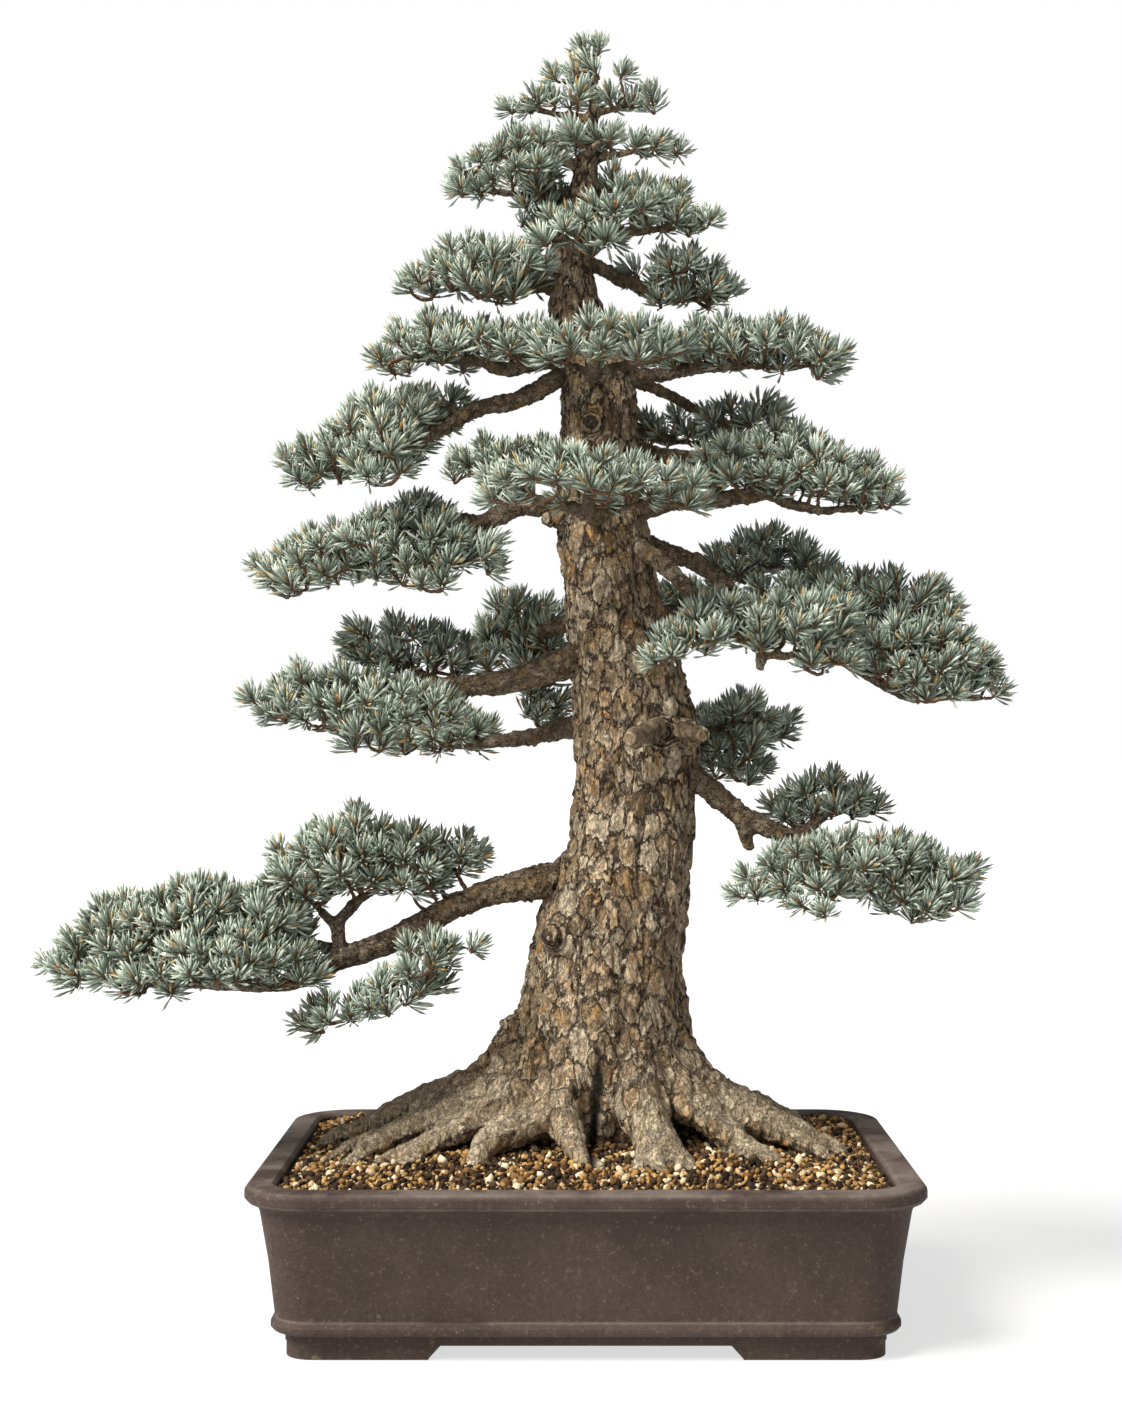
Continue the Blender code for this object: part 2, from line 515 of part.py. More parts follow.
def settle(obj):
    """Applies the object's modifiers and place. A curve's loose caps are welded to its sides."""
    name, home = obj.name, obj.users_collection[0]
    mesh = evaluated_mesh(obj)
    shape = bmesh.new()
    shape.from_mesh(mesh)
    bmesh.ops.remove_doubles(shape, verts=shape.verts, dist=2e-6)
    shape.to_mesh(mesh)
    shape.free()
    bpy.data.objects.remove(obj)
    mesh.name = name
    return add(name, mesh, home)


def boolean(obj, operation, cutter, crossing=False):
    """Joins the cutter to the object or takes it away. A cutter of crossing shapes is melted first."""
    modifier = obj.modifiers.new(cutter.name, "BOOLEAN")
    modifier.operation = operation
    modifier.solver = "EXACT"
    modifier.use_self = crossing
    modifier.object = cutter
    return settle(obj)


def pieces_of(shape):
    """The mesh's separate pieces, each a set of its vertices."""
    left, pieces = set(shape.verts), []
    while left:
        piece, edge_of = set(), [next(iter(left))]
        while edge_of:
            vertex = edge_of.pop()
            if vertex not in piece:
                piece.add(vertex)
                edge_of += [edge.other_vert(vertex) for edge in vertex.link_edges]
        left -= piece
        pieces.append(piece)
    return pieces


def largest_piece(obj):
    """Drops the crumbs that a cut leaves beside the one solid."""
    shape = bmesh.new()
    shape.from_mesh(obj.data)
    kept = max(pieces_of(shape), key=lambda piece: reach([vertex.co for vertex in piece]))
    crumbs = [vertex for vertex in shape.verts if vertex not in kept]
    bmesh.ops.delete(shape, geom=crumbs, context="VERTS")
    shape.to_mesh(obj.data)
    shape.free()
    return obj


def fused(obj, voxel, triangles):
    """Melts the object's overlapping closed shapes into one skin, thinned to about that many triangles."""
    remesh = obj.modifiers.new("fuse", "REMESH")
    remesh.mode = "VOXEL"
    remesh.voxel_size = voxel
    obj = largest_piece(settle(obj))
    thin = obj.modifiers.new("thin", "DECIMATE")
    thin.decimate_type = "COLLAPSE"
    thin.ratio = triangles / (2 * len(obj.data.polygons))
    return settle(obj)


def tapered_tubes(name, limbs, home, place):
    """One closed tapered tube along each limb, through the place function's point and radius."""
    curve = bpy.data.curves.new(name, "CURVE")
    curve.dimensions = "3D"
    curve.bevel_depth = 1
    curve.bevel_resolution = 2
    curve.resolution_u = 3
    curve.use_fill_caps = True
    for limb in limbs:
        spline = curve.splines.new("BEZIER")
        spline.bezier_points.add(len(limb) - 1)
        for point, drawn in zip(spline.bezier_points, limb):
            point.co, point.radius = place(*drawn)
            point.handle_left_type = point.handle_right_type = "AUTO"
    return settle(add(name, curve, home))


def in_tree(x, y, z, radius):
    """A drawn point of the tree, and its radius, in metres."""
    return Vector((x, y, z)) * TREE_SCALE + Vector((0, 0, SOIL_LEVEL)), radius * TREE_SCALE


def in_trunk(x, y, z, radius):
    """The same on the trunk, whose girth has its own size."""
    return in_tree(x, y, z, radius * GIRTH_SCALE / TREE_SCALE)


def in_branch(x, y, z, radius):
    """The same on a branch. The finest tips keep enough wood to hold together."""
    return in_tree(x, y, z, max(radius * BRANCH_GIRTH, min(radius, 2.4)))


def in_bed(x, y, z, radius):
    """A drawn point of a surface root. Near the trunk it goes by the girth, at its tip by the pot's bed."""
    share = min(1.0, math.hypot(x / DRAWN_BED[0], y / DRAWN_BED[1]))
    spread = [GIRTH_SCALE + (bed - GIRTH_SCALE) * share for bed in BED_SCALE]
    point = Vector((x * spread[0], y * spread[1], z * GIRTH_SCALE))
    return point + Vector((0, 0, SOIL_LEVEL)), radius * GIRTH_SCALE


def clump_lumps(name, clumps, home):
    """Overlapping ellipsoids, one for each clump of foliage."""
    mesh = bpy.data.meshes.new(name)
    shape = bmesh.new()
    for x, y, z, *radii in clumps:
        centre, _ = in_tree(x, y, z, 0)
        size = Matrix.Diagonal((*[radius * TREE_SCALE for radius in radii], 1))
        bmesh.ops.create_icosphere(shape, subdivisions=2, radius=1, matrix=Matrix.Translation(centre) @ size)
    shape.to_mesh(mesh)
    shape.free()
    return add(name, mesh, home)


def swollen(obj, home):
    """A cutter the object's shape, a clearance larger all round."""
    mesh = obj.data.copy()
    shape = bmesh.new()
    shape.from_mesh(mesh)
    bmesh.ops.triangulate(shape, faces=shape.faces)
    shape.normal_update()
    for vertex, way in [(v, v.normal * min(v.calc_shell_factor(), 2.5)) for v in shape.verts]:
        vertex.co += way * CLEARANCE
    shape.to_mesh(mesh)
    shape.free()
    return as_cutter(add(obj.name + "_cutter", mesh, home))


def as_cutter(obj):
    obj.hide_render = True
    obj.display_type = "WIRE"
    return obj


def box_of(points):
    low = Vector([min(p[i] for p in points) for i in range(3)])
    high = Vector([max(p[i] for p in points) for i in range(3)])
    return low, high


def reach(points):
    low, high = box_of(points)
    return (high - low).length


def near(a, b):
    boxes = [box_of([vertex.co for vertex in obj.data.vertices]) for obj in (a, b)]
    (low_a, high_a), (low_b, high_b) = boxes
    return all(low_a[i] < high_b[i] and low_b[i] < high_a[i] for i in range(3))


def leftovers(obj, neighbour, home):
    """A convex cutter round each place where the two still overlap, as the swollen skin folds in a fork."""
    overlap = boolean(add("overlap", obj.data.copy(), home), "INTERSECT", neighbour)
    shape = bmesh.new()
    shape.from_mesh(overlap.data)
    hulls = bmesh.new()
    pieces = pieces_of(shape)
    for piece in pieces:
        points = [
            hulls.verts.new(vertex.co + Vector(way) * 2 * CLEARANCE)
            for vertex in piece
            for way in ((1, 0, 0), (-1, 0, 0), (0, 1, 0), (0, -1, 0), (0, 0, 1), (0, 0, -1))
        ]
        made = bmesh.ops.convex_hull(hulls, input=points)
        inside = [part for part in made["geom_interior"] if isinstance(part, bmesh.types.BMVert)]
        bmesh.ops.delete(hulls, geom=inside, context="VERTS")
    mesh = bpy.data.meshes.new("leftovers")
    hulls.to_mesh(mesh)
    for built in (shape, hulls):
        built.free()
    bpy.data.objects.remove(overlap)
    return as_cutter(add("leftovers", mesh, home)), len(pieces)


def cut_clear(obj, neighbours, home):
    """Cuts the object back to a clearance from each (neighbour, its swollen cutter) whose box it meets."""
    for neighbour, cutter in neighbours:
        if not near(obj, cutter):
            continue
        obj = boolean(obj, "DIFFERENCE", cutter)
        hulls, count = leftovers(obj, neighbour, home)
        if count:
            obj = boolean(obj, "DIFFERENCE", hulls, crossing=True)
        bpy.data.objects.remove(hulls)
    return largest_piece(obj)


def finished(obj, colour, smooth_angle=60):
    obj.data.materials.clear()
    obj.data.materials.append(material(colour))
    obj.data.shade_smooth()
    obj.data.set_sharp_from_angle(angle=math.radians(smooth_angle))
    return obj


def rounded_outline(half_length, half_depth, radius, segments=7):
    """Points round a rectangle with round corners, anticlockwise."""
    points = []
    for corner in range(4):
        sign_x, sign_y = ((1, 1), (-1, 1), (-1, -1), (1, -1))[corner]
        for step in range(segments + 1):
            turn = math.radians(90 * (corner + step / segments))
            points.append((sign_x * (half_length - radius) + radius * math.cos(turn),
                           sign_y * (half_depth - radius) + radius * math.sin(turn)))
    return points


def flat_curve(name, points, home):
    """A closed 2D outline."""
    curve = bpy.data.curves.new(name, "CURVE")
    curve.dimensions = "2D"
    spline = curve.splines.new("POLY")
    spline.points.add(len(points) - 1)
    for point, (x, y) in zip(spline.points, points):
        point.co = (x, y, 0, 1)
    spline.use_cyclic_u = True
    return add(name, curve, home)


def slab(name, points, bottom, top, home):
    """A flat outline with a thickness, between two heights."""
    obj = flat_curve(name, points, home)
    obj.data.fill_mode = "BOTH"
    obj.data.extrude = (top - bottom) / 2
    obj.location.z = (top + bottom) / 2
    return settle(obj)


def wall_section():
    """The wall's section, as (distance in from the rim's edge, height), anticlockwise seen along the rim."""
    rim_foot = POT_HEIGHT - RIM_HEIGHT
    bead_foot = FOOT_HEIGHT + FOOT_BAND
    bead_top = bead_foot + BEAD_HEIGHT
    plinth = WALL_FOOT_INSET + PLINTH_INSET
    bead = WALL_FOOT_INSET - BEAD_PROJECTION
    waist = WALL_FOOT_INSET - WALL_BATTER * 0.42
    inner_foot = WALL_FOOT_INSET + WALL_THICKNESS
    return (
        (plinth, FOOT_HEIGHT),
        (plinth, bead_foot - 0.001),
        (bead + 0.0025, bead_foot),
        (bead, bead_foot + 0.0025),
        (bead, bead_top - 0.003),
        (bead + 0.0025, bead_top),
        (WALL_FOOT_INSET, bead_top + 0.001),
        (waist, (bead_top + rim_foot) / 2),
        (WALL_TOP_INSET + 0.0005, rim_foot - 0.006),
        (WALL_TOP_INSET - 0.0015, rim_foot - 0.0015),
        (0.0025, rim_foot + 0.0005),
        (0.0, rim_foot + 0.0035),
        (0.0, POT_HEIGHT - 0.004),
        (0.0025, POT_HEIGHT - 0.0006),
        (0.005, POT_HEIGHT),
        (RIM_WIDTH - 0.003, POT_HEIGHT),
        (RIM_WIDTH, POT_HEIGHT - 0.0025),
        (RIM_WIDTH + 0.0015, rim_foot),
        (inner_foot, FLOOR_TOP + 0.008),
        (inner_foot + 0.006, FLOOR_TOP - 0.003),
        (inner_foot + 0.006, FOOT_HEIGHT + 0.001),
    )


def build_pot(parts, cutters):
    """The wall swept round the pot, with its floor and feet joined on and the drains cut out."""
    section = flat_curve("wall_section", wall_section(), cutters)
    outline = rounded_outline(POT_LENGTH / 2, POT_DEPTH / 2, CORNER_RADIUS)
    pot = flat_curve("pot", outline, parts)
    pot.data.fill_mode = "NONE"
    pot.data.bevel_mode = "OBJECT"
    pot.data.bevel_object = section
    pot = settle(pot)
    shape = bmesh.new()
    shape.from_mesh(pot.data)
    bmesh.ops.recalc_face_normals(shape, faces=shape.faces)
    shape.to_mesh(pot.data)
    shape.free()
    bpy.data.objects.remove(section)

    inset = WALL_FOOT_INSET + PLINTH_INSET + 0.003
    half_length, half_depth = POT_LENGTH / 2 - inset, POT_DEPTH / 2 - inset
    floor_outline = rounded_outline(half_length, half_depth, CORNER_RADIUS - inset)
    floor = slab("floor", floor_outline, FOOT_HEIGHT, FLOOR_TOP, cutters)
    pot = boolean(pot, "UNION", floor)
    feet_inset = WALL_FOOT_INSET + PLINTH_INSET + 0.001
    feet_outline = rounded_outline(
        POT_LENGTH / 2 - feet_inset, POT_DEPTH / 2 - feet_inset, CORNER_RADIUS - feet_inset
    )
    feet = slab("feet", feet_outline, 0, FOOT_HEIGHT + 0.003, cutters)
    for hollow in foot_gaps(feet_inset, cutters):
        feet = boolean(feet, "DIFFERENCE", hollow)
        bpy.data.objects.remove(hollow)
    pot = boolean(pot, "UNION", feet)
    for side in (-1, 1):
        bpy.ops.mesh.primitive_cylinder_add(
            vertices=24,
            radius=DRAIN_RADIUS,
            depth=4 * FLOOR_THICKNESS,
            location=(side * DRAIN_SPACING / 2, 0, FOOT_HEIGHT + FLOOR_THICKNESS / 2),
        )
        drain = bpy.context.object
        pot = boolean(pot, "DIFFERENCE", drain)
        bpy.data.objects.remove(drain)
    for joined in (floor, feet):
        bpy.data.objects.remove(joined)
    return finished(pot, "pot", 35)


def foot_gaps(inset, home):
    """What is taken from the plinth to leave four corner feet: a gap with sloping ends each way, and the middle."""
    gaps = []
    half = (POT_LENGTH / 2 - inset, POT_DEPTH / 2 - inset)
    open_half = (half[0] - FOOT_LENGTH, half[1] - FOOT_DEPTH)
    for axis, (reach, far) in enumerate(((open_half[0], half[1]), (open_half[1], half[0]))):
        gap = flat_curve(
            "gap",
            (
                (-reach - 0.002, -0.005),
                (reach + 0.002, -0.005),
                (reach + 0.0, 0.001),
                (reach - FOOT_SLOPE, FOOT_HEIGHT - 0.0008),
                (-reach + FOOT_SLOPE, FOOT_HEIGHT - 0.0008),
                (-reach, 0.001),
            ),
            home,
        )
        gap.data.fill_mode = "BOTH"
        gap.data.extrude = far + 0.02
        gap.rotation_euler = (math.pi / 2, 0, math.pi / 2 if axis else 0)
        gaps.append(settle(gap))
    middle = rounded_outline(half[0] - FOOT_WIDTH, half[1] - FOOT_WIDTH, 0.02, 3)
    gaps.append(slab("middle", middle, -0.005, FOOT_HEIGHT - 0.0008, home))
    return gaps


def build_screens(parts, cutters):
    """A plastic mesh square over each drain."""
    screens = []
    hole = (SCREEN_SIDE - SCREEN_BARS * SCREEN_BAR_WIDTH) / (SCREEN_BARS - 1)
    bottom = FLOOR_TOP + CLEARANCE
    for name, side in (("drain_screen_left", -1), ("drain_screen_right", 1)):
        middle_x = side * DRAIN_SPACING / 2
        bpy.ops.mesh.primitive_cube_add(size=1, location=(middle_x, 0, bottom + SCREEN_THICKNESS / 2))
        screen = bpy.context.object
        screen.scale = (SCREEN_SIDE, SCREEN_SIDE, SCREEN_THICKNESS)
        for old in list(screen.users_collection):
            old.objects.unlink(screen)
        parts.objects.link(screen)
        screen.name = name
        bpy.context.view_layer.update()
        screen = settle(screen)
        start = -SCREEN_SIDE / 2 + SCREEN_BAR_WIDTH
        mesh = bpy.data.meshes.new("mesh_holes")
        shape = bmesh.new()
        for row in range(SCREEN_BARS - 1):
            for column in range(SCREEN_BARS - 1):
                centre = Vector((
                    middle_x + start + hole / 2 + column * (hole + SCREEN_BAR_WIDTH),
                    start + hole / 2 + row * (hole + SCREEN_BAR_WIDTH),
                    bottom,
                ))
                size = Matrix.Diagonal((hole, hole, 4 * SCREEN_THICKNESS, 1))
                bmesh.ops.create_cube(shape, size=1, matrix=Matrix.Translation(centre) @ size)
        shape.to_mesh(mesh)
        shape.free()
        holes = add("mesh_holes", mesh, cutters)
        screen = boolean(screen, "DIFFERENCE", holes)
        bpy.data.objects.remove(holes)
        screens.append(finished(screen, "screen", 30))
    return screens


def build_soil(around, parts, cutters):
    """The growing mix: it fills the pot to the rim, rises to the trunk and is cut clear of roots and screens."""
    layers = (
        (WALL_FOOT_INSET + WALL_THICKNESS + 0.0075, FLOOR_TOP + CLEARANCE),
        (WALL_FOOT_INSET + WALL_THICKNESS + 0.0015, FLOOR_TOP + 0.009),
        (RIM_WIDTH + 0.0030, POT_HEIGHT - RIM_HEIGHT - 0.002),
        (RIM_WIDTH + 0.0030, SOIL_LEVEL),
    )
    shape = bmesh.new()
    rings = []
    for inset, height in layers:
        outline = rounded_outline(
            POT_LENGTH / 2 - inset, POT_DEPTH / 2 - inset, max(0.006, CORNER_RADIUS - inset), 4
        )
        rings.append([shape.verts.new((x, y, height)) for x, y in outline])
    for share in (0.80, 0.55, 0.28):
        rise = SOIL_MOUND * math.cos(share * math.pi / 2)
        rings.append([
            shape.verts.new((v.co.x * share, v.co.y * share, SOIL_LEVEL + rise)) for v in rings[3]
        ])
    for lower, upper in zip(rings, rings[1:]):
        for i in range(len(lower)):
            j = (i + 1) % len(lower)
            shape.faces.new((lower[i], lower[j], upper[j], upper[i]))
    shape.faces.new(reversed(rings[0]))
    shape.faces.new(rings[-1])
    bmesh.ops.recalc_face_normals(shape, faces=shape.faces)
    mesh = bpy.data.meshes.new("soil")
    shape.to_mesh(mesh)
    shape.free()
    soil = add("soil", mesh, parts)
    for side in (-1, 1):
        reach = SCREEN_SIDE / 2 + CLEARANCE
        middle_x = side * DRAIN_SPACING / 2
        square = [(middle_x + x * reach, y * reach) for x, y in ((-1, -1), (1, -1), (1, 1), (-1, 1))]
        recess = slab("recess", square, 0, FLOOR_TOP + SCREEN_THICKNESS + 2 * CLEARANCE, cutters)
        soil = boolean(soil, "DIFFERENCE", recess)
        bpy.data.objects.remove(recess)
    return finished(cut_clear(soil, around, cutters), "soil")


def build_trunk(parts):
    """The trunk with its surface roots, stubs and crown shoots, which grew as one."""
    pieces = [
        tapered_tubes("trunk", [TRUNK], parts, in_trunk),
        tapered_tubes("stubs", STUBS, parts, in_trunk),
        tapered_tubes("roots", ROOTS, parts, in_bed),
        tapered_tubes("shoots", LEADER_SHOOTS, parts, in_tree),
    ]
    shape = bmesh.new()
    for piece in pieces:
        shape.from_mesh(piece.data)
        bpy.data.objects.remove(piece)
    mesh = bpy.data.meshes.new("trunk")
    shape.to_mesh(mesh)
    shape.free()
    return finished(fused(add("trunk", mesh, parts), 0.0020, 4600), "trunk_bark")


def centre_over_origin(parts):
    """Moves everything so that the middle of its box is over the origin."""
    low, high = box_of([vertex.co for obj in parts.objects for vertex in obj.data.vertices])
    middle = (low + high) / 2
    for obj in parts.objects:
        obj.data.transform(Matrix.Translation((-middle.x, -middle.y, 0)))


def main():
    clear_scene()
    parts = collection("potted_bonsai")
    cutters = collection("cutters", shown=False)
    build_pot(parts, cutters)
    build_screens(parts, cutters)
    trunk = build_trunk(parts)
    around = [(trunk, swollen(trunk, cutters))]
    build_soil(around, parts, cutters)
    for name, branch in BRANCHES.items():
        tubes = tapered_tubes("branch_" + name, branch.limbs, parts, in_branch)
        wood = fused(tubes, 0.0015, 60 + 22 * sum(len(limb) for limb in branch.limbs) // 3)
        wood = finished(cut_clear(wood, around, cutters), "branch_bark")
        around.append((wood, swollen(wood, cutters)))
    pads = {
        f"foliage_{name}" + ("" if part == "foliage" else f"_{part}"): clumps
        for name, branch in BRANCHES.items()
        for part, clumps in branch.pads.items()
    }
    pads["foliage_crown"] = CROWN_CLUMPS
    for name, clumps in pads.items():
        pad = fused(clump_lumps(name, clumps, parts), 0.004, 70 + 14 * len(clumps))
        pad = finished(cut_clear(pad, around, cutters), "foliage")
        around.append((pad, swollen(pad, cutters)))
    centre_over_origin(parts)


main()
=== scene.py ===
"""The looks of a potted bonsai conifer: scaly bark, needles, grit, stoneware, a pale floor and soft light."""

import logging
import math
from dataclasses import dataclass, field
from enum import Enum
from typing import Iterable, Sequence

import bmesh
import bpy
import numpy as np
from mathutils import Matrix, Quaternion, Vector, noise
from mathutils.bvhtree import BVHTree
from mathutils.kdtree import KDTree


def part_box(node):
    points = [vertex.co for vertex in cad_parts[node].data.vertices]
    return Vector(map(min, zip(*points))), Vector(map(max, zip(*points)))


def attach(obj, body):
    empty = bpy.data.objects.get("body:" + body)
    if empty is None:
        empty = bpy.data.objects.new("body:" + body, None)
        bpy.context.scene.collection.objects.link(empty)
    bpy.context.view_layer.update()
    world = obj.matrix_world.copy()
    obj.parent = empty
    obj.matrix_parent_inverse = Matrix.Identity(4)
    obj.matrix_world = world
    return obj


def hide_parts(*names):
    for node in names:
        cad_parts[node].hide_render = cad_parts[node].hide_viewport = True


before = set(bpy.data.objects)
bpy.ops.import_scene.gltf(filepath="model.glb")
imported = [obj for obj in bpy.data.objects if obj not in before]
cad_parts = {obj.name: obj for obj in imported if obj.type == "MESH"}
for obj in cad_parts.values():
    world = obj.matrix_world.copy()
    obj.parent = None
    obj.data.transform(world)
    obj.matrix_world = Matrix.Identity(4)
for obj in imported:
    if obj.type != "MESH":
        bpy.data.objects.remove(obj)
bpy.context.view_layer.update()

Array = np.ndarray
Colour = tuple[float, float, float]

logging.basicConfig(level=logging.INFO, format="%(message)s")
log = logging.getLogger("bonsai")

# Unseeded, vector noise starts from the clock, and the bark would come out a little different each time.
BARK_SEED = 7
noise.seed_set(BARK_SEED)

# The foot of the trunk, at the top of the soil's edge. The pot's middle is the same point in plan.
SOIL_BELOW_RIM = 0.0055
POT_LOW, POT_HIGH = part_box("pot")
ROOT_COLLAR = Vector(((POT_LOW.x + POT_HIGH.x) / 2, (POT_LOW.y + POT_HIGH.y) / 2, POT_HIGH.z - SOIL_BELOW_RIM))

# The scar value of bark that is nowhere near a knot, and the turn from one needle to the next.
NO_KNOT = 0.05
NEEDLE_TURN = 2.39996


class Slot(Enum):
    """Names of material slots."""

    POT = "pot"
    SOIL = "soil"
    SCREEN = "screen"
    TRUNK = "trunk_bark"
    BRANCH = "branch_bark"
    FOLIAGE = "foliage"


# ---------------------------------------------------------------- shader nodes


class Value:
    """A shader socket that takes part in arithmetic."""

    def __init__(self, sheet: "NodeSheet", socket: bpy.types.NodeSocket) -> None:
        """Wraps an output socket of the sheet."""
        self.sheet, self.socket = sheet, socket

    def _with(self, operation: str, *others: "Value | float", clamp: bool = False) -> "Value":
        """Adds a Math node on this value.

        Args:
            operation: the Math node's operation.
            others: its second and third values.
            clamp: whether the result stays from 0 to 1.

        Returns:
            The node's result.
        """
        sockets = dict(enumerate((self, *others)))
        settings = {"operation": operation, "use_clamp": clamp}
        return self.sheet.node("ShaderNodeMath", settings, sockets)

    def __add__(self, other: "Value | float") -> "Value":
        """The sum."""
        return self._with("ADD", other)

    __radd__ = __add__

    def __sub__(self, other: "Value | float") -> "Value":
        """The difference."""
        return self._with("SUBTRACT", other)

    def __rsub__(self, other: float) -> "Value":
        """A number less this value."""
        return self._with("MULTIPLY", -1.0) + other

    def __mul__(self, other: "Value | float") -> "Value":
        """The product."""
        return self._with("MULTIPLY", other)

    __rmul__ = __mul__

    def step(self, low: float, high: float) -> "Value":
        """A smooth rise from 0 at low to 1 at high, or a fall where low is above high.

        Args:
            low: the value at which the result is 0.
            high: the value at which it is 1.

        Returns:
            The share from 0 to 1.
        """
        settings = {"interpolation_type": "SMOOTHSTEP"}
        return self.sheet.node("ShaderNodeMapRange", settings, {0: self, 1: low, 2: high, 3: 0.0, 4: 1.0})

    def clipped(self) -> "Value":
        """The value held from 0 to 1."""
        return self._with("ADD", 0.0, clamp=True)


class NodeSheet:
    """A material and the nodes that feed its Principled shader."""

    def __init__(self, name: str, roughness: float = 0.6, gloss: float = 0.22) -> None:
        """Makes the material.

        Args:
            name: the material's name.
            roughness: its even roughness, which a link may replace.
            gloss: how strongly its surface mirrors light, where 0.5 is glass.
        """
        self.material = bpy.data.materials.new(name)
        self.material.use_nodes = True
        self.tree = self.material.node_tree
        self.surface = self.tree.nodes["Principled BSDF"]
        self.surface.inputs["Roughness"].default_value = roughness
        self.surface.inputs["Specular IOR Level"].default_value = gloss

    def node(self, kind: str, settings: dict | None = None, sockets: dict | None = None, out: int | str = 0) -> Value:
        """Adds a node.

        Args:
            kind: the node's type.
            settings: its properties, set first. "stops" holds a ramp's (place, colour) pairs.
            sockets: values or links by input name or number.
            out: the output wanted.

        Returns:
            That output.
        """
        made = self.tree.nodes.new(kind)
        for key, setting in (settings or {}).items():
            if key == "stops":
                self._fill_ramp(made.color_ramp, setting)
            else:
                setattr(made, key, setting)
        for key, value in (sockets or {}).items():
            if isinstance(value, Value):
                self.tree.links.new(value.socket, made.inputs[key])
            elif value is not None:
                made.inputs[key].default_value = value
        return Value(self, made.outputs[out])

    @staticmethod
    def _fill_ramp(ramp: bpy.types.ColorRamp, stops: Sequence[tuple[float, Colour]]) -> None:
        """Sets a ramp's stops."""
        while len(ramp.elements) < len(stops):
            ramp.elements.new(1.0)
        for element, (place, colour) in zip(ramp.elements, stops):
            element.position = place
            element.color = (*colour, 1)

    def place(self, stretch: Colour = (1, 1, 1)) -> Value:
        """Object coordinates, stretched by a factor along each axis."""
        where = self.node("ShaderNodeTexCoord", out="Object")
        if stretch == (1, 1, 1):
            return where
        return self.node("ShaderNodeMapping", sockets={"Vector": where, "Scale": stretch})

    def noise(self, scale: float, detail: float = 3.0, rough: float = 0.55, at: Value | None = None) -> Value:
        """Fractal noise from 0 to 1 on a number of waves to the metre.

        Args:
            scale: waves to the metre.
            detail: how many finer layers are added.
            rough: how strong the finer layers are.
            at: where it is read, or the object's own place.

        Returns:
            The noise.
        """
        sockets = {"Vector": at or self.place(), "Scale": scale, "Detail": detail, "Roughness": rough}
        return self.node("ShaderNodeTexNoise", sockets=sockets)

    def cells(self, scale: float, feature: str = "F1", at: Value | None = None, out: str = "Distance") -> Value:
        """A cell pattern on a number of cells to the metre.

        Args:
            scale: cells to the metre.
            feature: what is measured in each cell.
            at: where it is read, or the object's own place.
            out: the result wanted.

        Returns:
            That result.
        """
        settings = {"feature": feature}
        return self.node("ShaderNodeTexVoronoi", settings, {"Vector": at or self.place(), "Scale": scale}, out)

    def part(self, whole: Value, which: int) -> Value:
        """The first, second or third number of a vector or colour, counted from 0."""
        return self.node("ShaderNodeSeparateXYZ", sockets={0: whole}, out=which)

    def attribute(self, name: str) -> Value:
        """A number that the mesh holds."""
        return self.node("ShaderNodeAttribute", {"attribute_name": name}, out="Fac")

    def mix(self, share: Value | float, first: Value | Colour, second: Value | Colour) -> Value:
        """A mix of two colours by a share."""
        sockets = {0: share, 6: self._rgba(first), 7: self._rgba(second)}
        return self.node("ShaderNodeMix", {"data_type": "RGBA"}, sockets, out=2)

    @staticmethod
    def _rgba(colour: Value | Colour) -> Value | tuple:
        """A colour with its alpha, or a link as it is."""
        return colour if isinstance(colour, Value) else (*colour, 1)

    def connect(self, name: str, value: Value) -> None:
        """Links a value to an input of the shader."""
        self.tree.links.new(value.socket, self.surface.inputs[name])

    def bump(self, height: Value, distance: float, strength: float = 1.0) -> None:
        """Feeds the shader's normal from a height.

        Args:
            height: the height, where 1 is distance high.
            distance: metres for a height of 1.
            strength: how much of it shows.
        """
        sockets = {"Height": height, "Distance": distance, "Strength": strength}
        self.connect("Normal", self.node("ShaderNodeBump", sockets=sockets))


# ---------------------------------------------------------------- finishes


